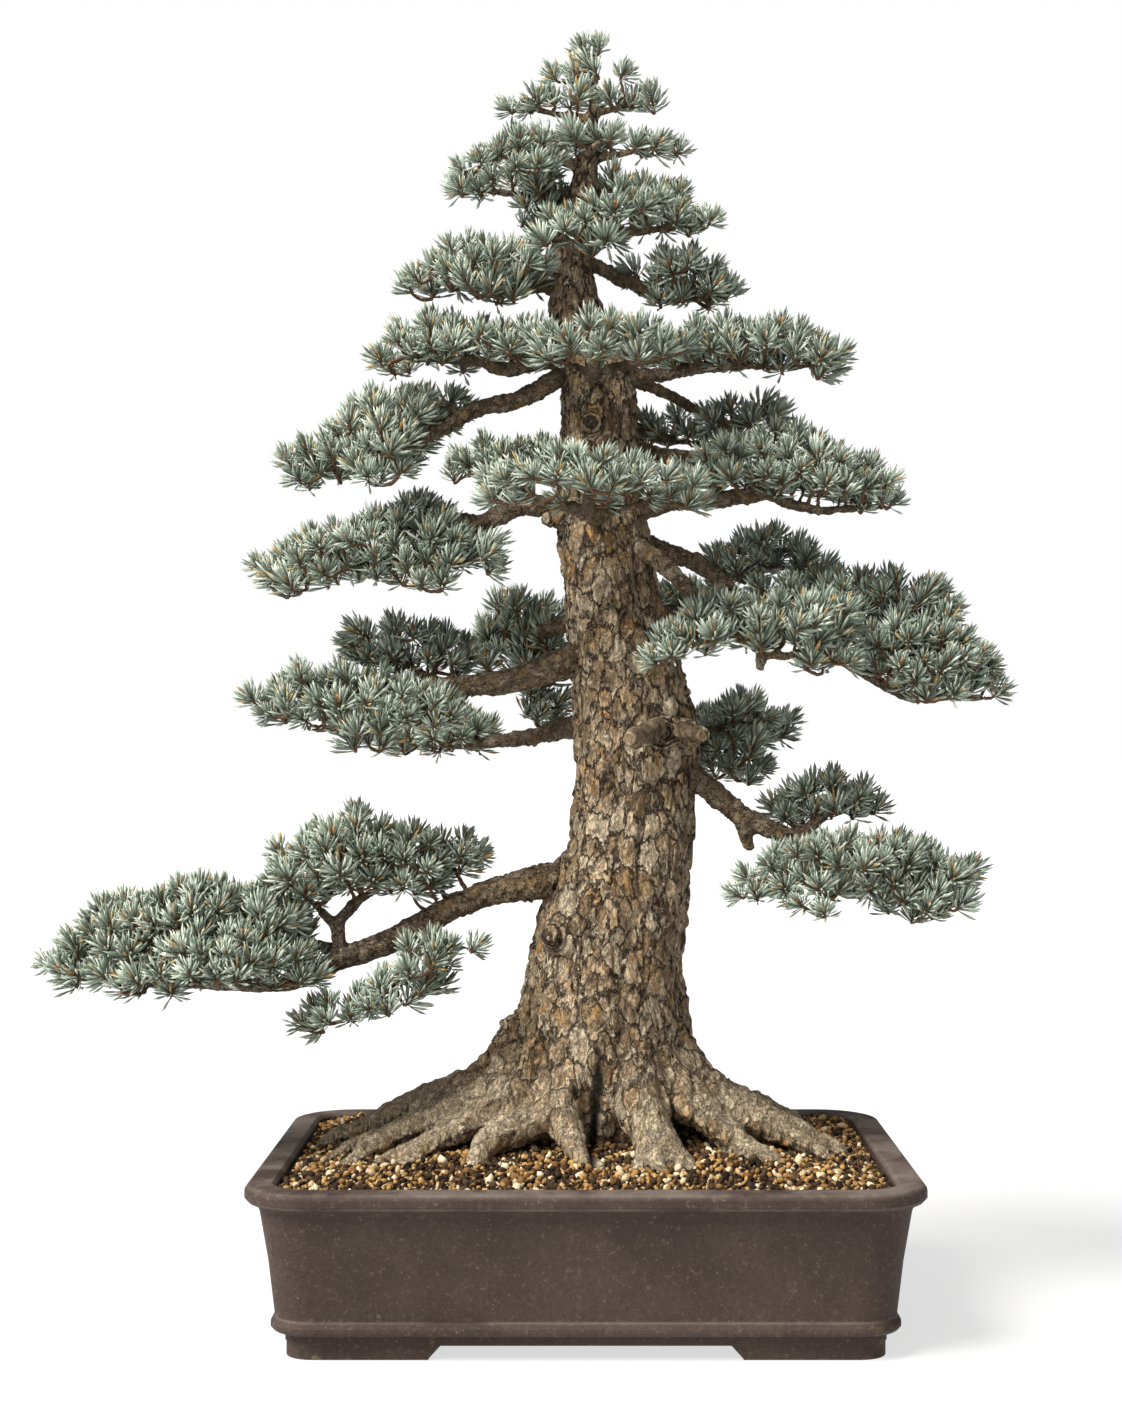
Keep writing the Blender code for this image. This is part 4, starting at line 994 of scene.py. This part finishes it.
@dataclass
class Trunk:
    """The trunk with its roots: scaly strips between long fissures above, smooth wrinkled roots below."""

    voxel: float = 0.00132
    most_triangles: int = 194_000
    plates: PlatePattern = PlatePattern(0.0150, 0.0250, 0.0017, 0.42, 0.20)
    strips: PlatePattern = PlatePattern(0.0205, 0.090, 0.0026, 0.42, 0.16)
    root_plates: PlatePattern = PlatePattern(0.0110, 0.0260, 0.0010, 0.5, 0.14)
    flute: float = 0.0075
    crevice_depth: float = 0.0065
    swell: float = 0.0002
    root_low: float = 0.018
    root_high: float = 0.070
    slender: tuple[float, float] = (0.60, 0.76)
    stubs: tuple["Stub", ...] = field(default_factory=lambda: (
        Stub((0.053, -0.046, 0.3210), (0.0310, -0.0770, 0.3125), 0.0052),
        Stub((0.068, -0.046, 0.3190), (0.0840, -0.0600, 0.3155), 0.0042),
    ))
    knots: tuple[tuple[float, float, float, float], ...] = (
        (-0.025, -0.049, 0.168, 0.015),
        (0.058, -0.046, 0.317, 0.019),
        (0.004, -0.028, 0.546, 0.013),
    )

    def relief(self, points: Array) -> Relief:
        """Works out the bark at each point, with painted shade in its cracks, fissures, wrinkles and the cleft between
        the roots.

        Args:
            points: the skin's points, one to a row.

        Returns:
            The height and the painted shade at each.
        """
        height, fissure = np.zeros(len(points)), np.zeros(len(points))
        for i, (x, y, z) in enumerate(points - np.array(ROOT_COLLAR)):
            here = Vector((x, y, z))
            out = math.hypot(x, y)
            share = 1 - float(rise(z - 0.35 * max(0.0, 0.10 - out), self.root_low, self.root_high))
            girth = 1.0 if z < 0.35 else max(0.5, 1 - (z - 0.35) * 1.1)
            if share < 1:
                p = self.plates
                high, crack = p.at(Vector((x / p.width, y / p.width, z / p.length)) / girth)
                height[i] += (1 - share) * p.height * girth * high
                # Painted shade in the cracks between the plates.
                fissure[i] += (1 - share) * crack * 0.25
            if share > 0:
                p = self.root_plates
                round_it = math.atan2(y, x) * 0.085
                high, crack = p.at(Vector((round_it / p.width, z / p.width, out / p.length)))
                wrinkle = noise.noise(Vector((round_it / 0.020, z / 0.020, out / 0.0031)))
                height[i] += share * (p.height * high + 0.0007 * wrinkle)
                # Painted shade in the root plates' cracks and in the troughs of the root wrinkles.
                fissure[i] += share * (crack * 0.42 + 0.25 * float(rise(-wrinkle, 0.25, 0.6)))
            p = self.strips
            _, deep = p.at(Vector((x / p.width, y / p.width, z / p.length)) / (0.4 + 0.6 * girth))
            deep *= float(rise(noise.noise(here / 0.032 + Vector((9, 4, 2))), -0.42, 0.05)) * (1 - 0.6 * share)
            height[i] -= p.height * deep * girth
            # Painted shade down the long fissures.
            fissure[i] = max(fissure[i], deep * (0.35 + 0.25 * share))
            flare = float(rise(z, 0.0, 0.035)) * (1 - float(rise(z, 0.075, 0.190)))
            if flare > 0:
                around = math.atan2(y, x)
                height[i] += self.flute * flare * noise.noise(Vector((math.cos(around), math.sin(around), z)) * 2.9)
            split = self._crevice(x, y, z)
            height[i] -= self.crevice_depth * split
            # Painted shade, near black, in the cleft between the two middle roots.
            fissure[i] = max(fissure[i], 0.9 * split)
            height[i] += 0.0009 * noise.noise(Vector((x, y, z * 0.6)) / 0.0048)
            height[i] += 0.0022 * noise.noise(Vector((x, y, z * 0.6)) / 0.022) * (0.35 + 0.65 * girth)
        return Relief(height, fissure)

    @staticmethod
    def _crevice(x: float, y: float, z: float) -> float:
        """The share of the cleft between the two middle roots in front.

        Args:
            x: metres right of the root collar.
            y: metres behind it.
            z: metres above it.

        Returns:
            1 at the bottom of the cleft, 0 away from it.
        """
        if y >= 0:
            return 0.0
        return math.exp(-(((x - 0.006 - 0.08 * (z - 0.03)) / 0.0048) ** 2)) * (1 - float(rise(z, 0.060, 0.125)))

    def build(self) -> bpy.types.Object:
        """Models and dresses the trunk.

        Returns:
            The trunk's piece.
        """
        trunk = welded_copy("trunk", "trunk_bark")
        fine_skin(trunk, self.voxel, 7)
        points, normals = points_of(trunk.data), normals_of(trunk.data)
        relief = self.relief(points)
        scar = np.full(len(points), NO_KNOT)
        for x, y, z, radius in self.knots:
            away = np.linalg.norm(points - np.array(ROOT_COLLAR + Vector((x, y, z))), axis=1)
            near = 1 - rise(away, radius * 0.5, radius * 1.1)
            relief.height = relief.height * (1 - near) + near * 0.0007 * np.cos(away / 0.0011)
            relief.fissure = relief.fissure * (1 - near)
            scar = np.minimum(scar, away * BarkFinish.eye / radius)
        local = points - np.array(ROOT_COLLAR)
        reach = np.hypot(local[:, 0], local[:, 1])
        thin = rise(local[:, 2], *self.slender)
        # Pale on the roots, most where they face up, less on their sides and none beneath.
        roots = (1 - rise(local[:, 2], 0.03, 0.10)) * rise(reach, 0.04, 0.10) * rise(normals[:, 2], -0.5, 0.6)
        traits = relief.fissure * (1 - 0.6 * thin), scar, thin * 0.8, roots * 0.9
        slim = np.clip(1 - 0.75 * thin, 0.2, 1)
        moved = points + normals * ((relief.height + self.swell) * slim)[:, None]
        set_points(trunk.data, moved)
        thin_out(trunk, self.most_triangles)
        nearest = nearest_rows(moved, points_of(trunk.data))
        write_bark(trunk.data, *(values[nearest] for values in traits))
        trunk.data.shade_smooth()
        dress(trunk, Slot.TRUNK, BarkFinish("trunk_scales").build(), nodes=["trunk"])
        for number, stub in enumerate(self.stubs):
            stub.build(number)
        return trunk


@dataclass
class Branches:
    """The branches: knobbly, ringed bark that is scaly by the trunk and dark and young at the tips."""

    voxel: float = 0.00135
    plates: PlatePattern = PlatePattern(0.0085, 0.0085, 0.0010, 0.5, 0.11)
    ring: float = 0.0070

    def build(self) -> dict[str, bpy.types.Object]:
        """Models and dresses each branch.

        Returns:
            The pieces by their CAD node's name.
        """
        finish = BarkFinish("branch_scales", plate_size=0.0075, squat=1.0, flake_size=0.0030, relief=0.0019).build()
        made = {}
        for node in sorted(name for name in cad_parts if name.startswith("branch_")):
            branch = welded_copy(node, node + "_bark")
            fine_skin(branch, self.voxel, 4)
            points, normals = points_of(branch.data), normals_of(branch.data)
            height, fissure = np.zeros(len(points)), np.zeros(len(points))
            local = points - np.array(ROOT_COLLAR)
            out = np.hypot(local[:, 0] - 0.01, local[:, 1])
            age = rise(out, 0.09, 0.22)
            for i, point in enumerate(points):
                place = Vector(point)
                high, crack = self.plates.at(place / self.plates.width)
                wrinkle = math.sin((out[i] + 0.0110 * noise.noise(place / 0.015)) * math.tau / self.ring) ** 3
                knobs = noise.noise(place / 0.0125)
                height[i] = (1 - age[i]) * (high - 0.5) * self.plates.height + 0.0020 * max(knobs, -0.25) - 0.0003
                height[i] += 0.0004 * wrinkle + 0.0007 * noise.noise(place / 0.0042)
                # Painted shade in the plates' cracks and in the troughs of the ring wrinkles.
                fissure[i] = (1 - age[i]) * crack * 0.25 + 0.30 * max(0.0, -wrinkle)
            slim = 1 - 0.35 * age
            set_points(branch.data, points + normals * (height * slim)[:, None])
            write_bark(branch.data, fissure, NO_KNOT, age, 0.0)
            branch.data.shade_smooth()
            dress(branch, Slot.BRANCH, finish, nodes=[node])
            made[node] = branch
        return made


# ---------------------------------------------------------------- foliage


@dataclass
class Tuft:
    """A short shoot with its rosette of needles, which stands on the origin and points up, to be copied."""

    points: Array
    triangles: Array
    uv: Array
    habit: "Habit"


@dataclass(frozen=True)
class Habit:
    """How a shoot is built: its spur's length, how many needles it has, how far the lowest lean out in
    degrees, and how far up the spur they go."""

    spur: float
    needles: int
    spread: float
    rise: float


@dataclass
class TuftMaker:
    """Models the needle, the bud and the spur once, and sets needles round a spur in several ways."""

    needle_length: float = 0.0182
    needle_width: float = 0.00052
    needle_heel: float = 0.55
    bud_size: tuple[float, float, float] = (0.0017, 0.0017, 0.0031)
    fan: Habit = Habit(spur=0.0080, needles=42, spread=80, rise=0.85)
    leader: Habit = Habit(spur=0.0180, needles=60, spread=70, rise=0.95)
    variants: int = 6
    seed: int = 5

    def needle(self) -> Shape:
        """Models a three-sided needle: a narrow heel, an even blade and a pointed tip."""
        length = self.needle_length
        heel = self.needle_width * self.needle_heel
        bpy.ops.mesh.primitive_cone_add(vertices=3, radius1=heel, radius2=0, depth=length, location=(0, 0, length / 2))
        blade = bpy.context.object
        bpy.ops.object.mode_set(mode="EDIT")
        for share, wide in ((0.30, 1.0), (0.72, 0.92)):
            bpy.ops.mesh.select_all(action="SELECT")
            bpy.ops.mesh.bisect(plane_co=(0, 0, length * share), plane_no=(0, 0, 1))
            grown = self.needle_width * wide / (heel * (1 - share))
            self._pick_ring(blade, length * share)
            bpy.ops.transform.resize(value=(grown, grown, 1), center_override=(0, 0, length * share))
        bpy.ops.object.mode_set(mode="OBJECT")
        return Shape.taken_from(blade)

    @staticmethod
    def _pick_ring(piece: bpy.types.Object, height: float) -> None:
        """Selects the points at one height of a needle in edit mode.

        Args:
            piece: the needle.
            height: the height in metres.
        """
        bpy.ops.mesh.select_all(action="DESELECT")
        shape = bmesh.from_edit_mesh(piece.data)
        for vertex in shape.verts:
            world = piece.matrix_world @ vertex.co
            vertex.select = abs(world.z - height) < 1e-5
        shape.select_flush_mode()
        bmesh.update_edit_mesh(piece.data)

    def bud(self) -> Shape:
        """Models an egg-shaped resting bud."""
        bpy.ops.mesh.primitive_uv_sphere_add(segments=6, ring_count=4, radius=1.0)
        bud = bpy.context.object
        bpy.ops.object.mode_set(mode="EDIT")
        bpy.ops.mesh.select_all(action="SELECT")
        bpy.ops.transform.resize(value=self.bud_size)
        bpy.ops.object.mode_set(mode="OBJECT")
        return Shape.taken_from(bud)

    def stalk(self) -> Shape:
        """Models the short spur that carries the needles."""
        bpy.ops.mesh.primitive_cone_add(vertices=5, radius1=0.0013, radius2=0.0010, depth=1.0, location=(0, 0, 0.5))
        return Shape.taken_from(bpy.context.object)

    def tufts(self, habit: Habit) -> list[Tuft]:
        """Sets needles round the spur, each variant a little differently.

        Args:
            habit: how the shoots are built.

        Returns:
            The variants.
        """
        rng = np.random.default_rng(self.seed)
        blade = self.needle()
        along = blade.points[:, 2] / self.needle_length
        return [self._rosette(habit, blade, along, rng) for _ in range(self.variants)]

    def _rosette(self, habit: Habit, blade: Shape, along: Array, rng: np.random.Generator) -> Tuft:
        """One shoot's needles, which spread low on the spur, stand up near its top and all curve upwards.

        Args:
            habit: how the shoot is built.
            blade: the needle.
            along: the way up the needle of each of its points, from 0 to 1.
            rng: the random numbers.

        Returns:
            The shoot.
        """
        heap, uv = Heap("rosette"), []
        for i in range(habit.needles):
            share = (i + 0.5) / habit.needles
            lean = math.radians(16 + (habit.spread - 16) * share**0.70) + rng.normal(0, 0.13)
            spin = i * NEEDLE_TURN + rng.normal(0, 0.30)
            size = rng.uniform(0.78, 1.10)
            bent = blade.points.copy()
            bent[:, 0] -= rng.uniform(0.08, 0.26) * self.needle_length * along**2
            turn = Quaternion((0, 0, 1), spin) @ Quaternion((0, 1, 0), lean)
            foot = Vector((0, 0, habit.spur * habit.rise * (1 - share) + 0.0006))
            heap.add(turned(bent, turn, size, foot), blade.triangles)
            aged = rng.random() < 0.05
            tone = 1.0 if aged else 0.9 * rng.random()
            uv.append(np.stack([np.full(len(bent), tone), along], 1))
        return Tuft(np.concatenate(heap.points), np.concatenate(heap.triangles), np.concatenate(uv), habit)


@dataclass
class Foliage:
    """The pads of foliage: shoots spread through each pad, on twigs that grow from its branch.

    Each shoot is first placed at least shell inside its pad and then sunk. The top of its needles stands at
    most proud of the pad's surface. The crown's shoots sink to drooping tiers, whose heights are in metres.
    """

    maker: TuftMaker = field(default_factory=TuftMaker)
    spacing: float = 0.0146
    shell: float = 0.0015
    sink: float = 0.0060
    proud: float = 0.0070
    tries: float = 1.4e7
    leader_share: float = 0.26
    tiers: tuple[float, ...] = (0.9450, 0.9265, 0.9065, 0.8755, 0.8415, 0.8070)
    tier_droop: float = 0.16
    tier_reach: float = 0.024
    bud_share: float = 0.88
    wood_reach: float = 0.012
    seed: int = 29

    def build(self, branches: dict[str, bpy.types.Object], trunk: bpy.types.Object) -> None:
        """Models and dresses each pad's needles, buds and twigs.

        Args:
            branches: the branch pieces by CAD node.
            trunk: the trunk piece, which carries the crown.
        """
        fans, leaders = self.maker.tufts(self.maker.fan), self.maker.tufts(self.maker.leader)
        bud, stalk = self.maker.bud(), self.maker.stalk()
        wax, wood = NeedleFinish().build(), TwigFinish("twig_wood").build()
        total = 0
        for number, node in enumerate(sorted(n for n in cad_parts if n.startswith("foliage_"))):
            rng = np.random.default_rng(self.seed + number)
            pad = node.removeprefix("foliage_")
            carrier = max((b for n, b in branches.items() if pad.startswith(n.removeprefix("branch_"))),
                          key=lambda b: len(b.name), default=trunk)
            stand = self._spread(node, fans, leaders, rng)
            total += len(stand)
            feet = np.array([tuple(foot) for foot, _, _, _ in stand])
            wood_points = self._wood_near(carrier, node)
            parents = self._grow(feet, wood_points)
            needles, small = Heap("needles_" + pad), Heap("buds_" + pad)
            for foot, axis, size, tuft in stand:
                self._plant(tuft, bud, stalk, foot, axis, size, needles, small, rng)
            dress(needles.finished(smooth=False), Slot.FOLIAGE, wax, nodes=[node])
            twigs = self._twigs("twigs_" + pad, feet, parents, wood_points, rng)
            dress(self._joined(twigs, small.finished()), Slot.BRANCH, wood)
        log.info("%d shoots", total)

    def _spread(self, node: str, fans: list[Tuft], leaders: list[Tuft], rng: np.random.Generator) -> list:
        """Stands shoots evenly apart in a pad, so that their needles reach its surface.

        Args:
            node: the pad's CAD node.
            fans: the common shoots.
            leaders: the tall shoots.
            rng: the pad's random numbers.

        Returns:
            A (foot, axis, size, tuft) for each shoot.
        """
        surface = tree_of(node)
        low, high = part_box(node)
        size = high - low
        middle = (low + high) / 2
        kept, stood = np.empty((0, 3)), []
        for point in rng.uniform(low, high, (int(self.tries * size.x * size.y * size.z), 3)):
            drop = self._above_tier(point) if node == "foliage_crown" else self.sink
            stand = point - (0, 0, drop)
            crowded = len(kept) and ((kept - stand) ** 2).sum(1).min() < self.spacing**2
            if drop > self.tier_reach or crowded:
                continue
            place = Vector(point)
            nearest, _, _, deep = surface.find_nearest(place)
            if deep < self.shell or not lies_inside(surface, place):
                continue
            nearest, place = nearest - Vector((0, 0, drop)), Vector(stand)
            axis = self._axis(place, nearest, deep, middle, size, rng)
            tall = rng.random() < self.leader_share and axis.z > 0.7
            tuft = (leaders if tall else fans)[rng.integers(0, self.maker.variants)]
            grown = rng.uniform(0.76, 1.10)
            top = place + axis * (tuft.habit.spur + 0.78 * self.maker.needle_length) * grown
            if not lies_inside(surface, top) and surface.find_nearest(top)[3] > self.proud:
                continue
            kept = np.vstack([kept, stand])
            stood.append((place, axis, grown, tuft))
        return stood

    def _above_tier(self, point: Array) -> float:
        """How far a place in the crown is above the tier of shoots under it.

        Args:
            point: the place.

        Returns:
            The height in metres, or 1 where no tier is under it.
        """
        out = math.hypot(point[0] - ROOT_COLLAR.x - 0.006, point[1] - ROOT_COLLAR.y)
        gaps = [point[2] + 0.004 - tier + self.tier_droop * out for tier in self.tiers]
        return min((gap for gap in gaps if gap > 0), default=1.0)

    @staticmethod
    def _axis(place: Vector, nearest: Vector, deep: float, middle: Vector, size: Vector,
              rng: np.random.Generator) -> Vector:
        """The way a shoot points: up, and outwards near the pad's side.

        Args:
            place: the shoot's foot.
            nearest: the nearest place on the pad's surface.
            deep: how far that is.
            middle: the pad's middle.
            size: the pad's size.
            rng: the random numbers.

        Returns:
            A vector of length 1.
        """
        out = (nearest - place).normalized()
        side = Vector(((place.x - middle.x) / size.x, (place.y - middle.y) / size.y, 0)) * 1.3
        near = 1 - float(rise(deep, 0.006, 0.022))
        flat = Vector((out.x, out.y, max(out.z, -0.1)))
        return (Vector((0, 0, 0.85)) + flat * 0.75 * near + side + Vector(rng.normal(0, 0.22, 3))).normalized()

    def _plant(self, tuft: Tuft, bud: Shape, stalk: Shape, foot: Vector, axis: Vector, size: float,
               needles: Heap, small: Heap, rng: np.random.Generator) -> None:
        """Sets one shoot, its spur and maybe its bud.

        Args:
            tuft: the shoot.
            bud: the bud.
            stalk: the spur.
            foot: where the shoot stands.
            axis: the way it points.
            size: the factor on its size.
            needles: the heap that takes the needles.
            small: the heap that takes the spur and bud.
            rng: the random numbers.
        """
        turn = axis.to_track_quat("Z", "Y") @ Quaternion((0, 0, 1), rng.uniform(0, math.tau))
        shade = np.clip(rng.normal(0.52, 0.17), 0.05, 0.95)
        uv = tuft.uv.copy()
        aged = uv[:, 0] > 0.95
        uv[:, 0] = np.where(aged, 0.995, np.clip(0.42 * shade + 0.62 * uv[:, 0], 0.01, 0.90))
        needles.add(turned(tuft.points, turn, size, foot), tuft.triangles, uv=uv)
        spur = stalk.points * (1, 1, tuft.habit.spur)
        small.add(turned(spur, turn, size, foot), stalk.triangles, age=0.32)
        if rng.random() < self.bud_share:
            scale = size * rng.uniform(0.8, 1.3)
            top = foot + axis * (tuft.habit.spur * size + 0.0034 * scale)
            small.add(turned(bud.points, turn, scale, top), bud.triangles, age=rng.uniform(0.75, 1.0))

    def _wood_near(self, carrier: bpy.types.Object, node: str) -> Array:
        """The carrier's points in and round a pad, thinned out.

        Args:
            carrier: the branch or trunk that the pad grows from.
            node: the pad's CAD node.

        Returns:
            Points, one to a row.
        """
        low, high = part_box(node)
        points = points_of(carrier.data)[::7]
        inside = ((points > np.array(low) - self.wood_reach) & (points < np.array(high) + self.wood_reach)).all(1)
        if inside.sum() > 20:
            return points[inside]
        middle = (np.array(low) + np.array(high)) / 2
        return points[np.argsort(((points - middle) ** 2).sum(1))[:60]]

    @staticmethod
    def _grow(feet: Array, wood: Array) -> list[int]:
        """Joins each foot to the nearest wood or foot already joined, the nearest first.

        Args:
            feet: the tufts' feet.
            wood: points on the branch.

        Returns:
            For each foot the number of its parent foot, or -1 less the number of its wood point.
        """
        parents = [0] * len(feet)
        gaps = ((feet[:, None] - wood[None]) ** 2).sum(2)
        best, owner = gaps.min(1), -1 - gaps.argmin(1)
        waiting = set(range(len(feet)))
        while waiting:
            nearest = min(waiting, key=lambda i: best[i])
            waiting.remove(nearest)
            parents[nearest] = int(owner[nearest])
            step = ((feet - feet[nearest]) ** 2).sum(1) * 1.25
            closer = step < best
            best[closer], owner[closer] = step[closer], nearest
        return parents

    def _twigs(self, name: str, feet: Array, parents: list[int], wood: Array,
               rng: np.random.Generator) -> bpy.types.Object:
        """Models the twigs as tapered curves from each parent to its foot.

        Args:
            name: the piece's name.
            feet: the shoots' feet, one to a row.
            parents: each foot's parent, as _grow gives it.
            wood: points on the branch.
            rng: the random numbers.

        Returns:
            The twigs, as one mesh.
        """
        load = np.ones(len(feet))
        for i in self._from_tips(parents):
            if parents[i] >= 0:
                load[parents[i]] += load[i]
        curve = bpy.data.curves.new(name, "CURVE")
        curve.dimensions, curve.bevel_depth, curve.bevel_resolution, curve.use_fill_caps = "3D", 1.0, 1, True
        for i, parent in enumerate(parents):
            start = Vector(wood[-1 - parent]) if parent < 0 else Vector(feet[parent])
            end = Vector(feet[i])
            length = (end - start).length
            elbow = start.lerp(end, 0.55) - Vector((0, 0, 0.12 * length)) + Vector(rng.normal(0, 0.08, 3)) * length
            thick = 0.00085 + 0.00034 * math.sqrt(load[i])
            spline = curve.splines.new("POLY")
            spline.points.add(5)
            for point, t in zip(spline.points, np.linspace(0, 1, 6)):
                place = start * (1 - t) ** 2 + elbow * 2 * t * (1 - t) + end * t * t
                wobble = Vector(rng.normal(0, 0.00035, 3)) * (0 < t < 1)
                point.co = (*(place + wobble), 1)
                point.radius = thick * (1.18 - 0.3 * t) * rng.uniform(0.9, 1.12)
        piece = bpy.data.objects.new(name, curve)
        bpy.context.scene.collection.objects.link(piece)
        pick_only(piece)
        bpy.ops.object.convert(target="MESH")
        piece = bpy.context.object
        piece.data.shade_smooth()
        write_values(piece.data, "age", np.full(len(piece.data.vertices), 0.12))
        return piece

    @staticmethod
    def _from_tips(parents: list[int]) -> list[int]:
        """The feet in an order that has each one before its parent.

        Args:
            parents: each foot's parent, as _grow gives it.

        Returns:
            The feet's numbers.
        """
        depth = [0] * len(parents)
        for i in range(len(parents)):
            j, steps = i, 0
            while parents[j] >= 0:
                j, steps = parents[j], steps + 1
            depth[i] = steps
        return sorted(range(len(parents)), key=lambda i: -depth[i])

    @staticmethod
    def _joined(twigs: bpy.types.Object, buds: bpy.types.Object) -> bpy.types.Object:
        """Joins the spurs and buds to the twigs.

        Args:
            twigs: the twigs.
            buds: the spurs and buds.

        Returns:
            The one piece.
        """
        pick_only(twigs)
        buds.select_set(True)
        bpy.ops.object.join()
        return bpy.context.object


# ---------------------------------------------------------------- the studio


@dataclass(frozen=True)
class Lamp:
    """A distant soft light: where it shines from, how strong it is and how wide it looks."""

    name: str
    azimuth: float
    elevation: float
    strength: float
    width: float
    colour: Colour = (1.0, 1.0, 1.0)

    def build(self) -> None:
        """Adds the light."""
        bpy.ops.object.light_add(type="SUN")
        lamp = bpy.context.object
        lamp.name = self.name
        lamp.data.energy, lamp.data.angle, lamp.data.color = self.strength, math.radians(self.width), self.colour
        across, up = math.radians(self.azimuth), math.radians(self.elevation)
        back = Vector((math.sin(across) * math.cos(up), -math.cos(across) * math.cos(up), math.sin(up)))
        lamp.rotation_euler = (-back).to_track_quat("-Z", "Y").to_euler()


@dataclass
class Studio:
    """A pale floor, soft light and the camera."""

    lens: float = 60.0
    distance: float = 1.755
    eye_height: float = 0.4347
    shift_x: float = -0.0178
    shift_y: float = 0.0185
    room_light: float = 0.25
    table_glow: float = 0.66
    lamps: tuple[Lamp, ...] = (
        Lamp("key_light", -57, 48, 6.0, 32, (1.0, 0.985, 0.950)),
        Lamp("front_light", -24, 24, 0.50, 50),
    )

    def build(self) -> None:
        """Makes the floor, the world, the lights and the camera."""
        bpy.ops.object.select_all(action="DESELECT")
        bpy.ops.mesh.primitive_plane_add(size=60)
        floor = bpy.context.object
        floor.name = "floor"
        pale = PlainFinish("pale_floor", (0.30, 0.30, 0.30), (0.31, 0.31, 0.31), 0.9, 3.0).build()
        glow = pale.node_tree.nodes["Principled BSDF"].inputs
        glow["Emission Color"].default_value, glow["Emission Strength"].default_value = (1, 1, 1, 1), self.table_glow
        floor.data.materials.append(pale)
        self._backdrop()
        bpy.context.scene.view_settings.view_transform = "Standard"
        for lamp in self.lamps:
            lamp.build()
        bpy.ops.object.camera_add(location=(ROOT_COLLAR.x, ROOT_COLLAR.y - self.distance, self.eye_height),
                                  rotation=(math.pi / 2, 0, 0))
        camera = bpy.context.object
        camera.data.lens, camera.data.sensor_width, camera.data.sensor_fit = self.lens, 36.0, "AUTO"
        camera.data.shift_x, camera.data.shift_y = self.shift_x, self.shift_y
        bpy.context.scene.camera = camera

    def _backdrop(self) -> None:
        """Fills the room with soft light behind a white backdrop."""
        world = bpy.data.worlds.new("studio_world")
        world.use_nodes = True
        bpy.context.scene.world = world
        tree = world.node_tree
        room = tree.nodes["Background"]
        room.inputs["Color"].default_value = (1.0, 1.0, 1.0, 1)
        room.inputs["Strength"].default_value = self.room_light
        white = tree.nodes.new("ShaderNodeBackground")
        white.inputs["Color"].default_value = (1.0, 1.0, 1.0, 1)
        seen, both = tree.nodes.new("ShaderNodeLightPath"), tree.nodes.new("ShaderNodeMixShader")
        tree.links.new(seen.outputs["Is Camera Ray"], both.inputs[0])
        tree.links.new(room.outputs[0], both.inputs[1])
        tree.links.new(white.outputs[0], both.inputs[2])
        tree.links.new(both.outputs[0], tree.nodes["World Output"].inputs["Surface"])


def main() -> None:
    """Builds the whole scene."""
    Pot().build()
    Mix().build()
    trunk = Trunk().build()
    branches = Branches().build()
    Foliage().build(branches, trunk)
    Studio().build()


if __name__ == "__main__":
    main()
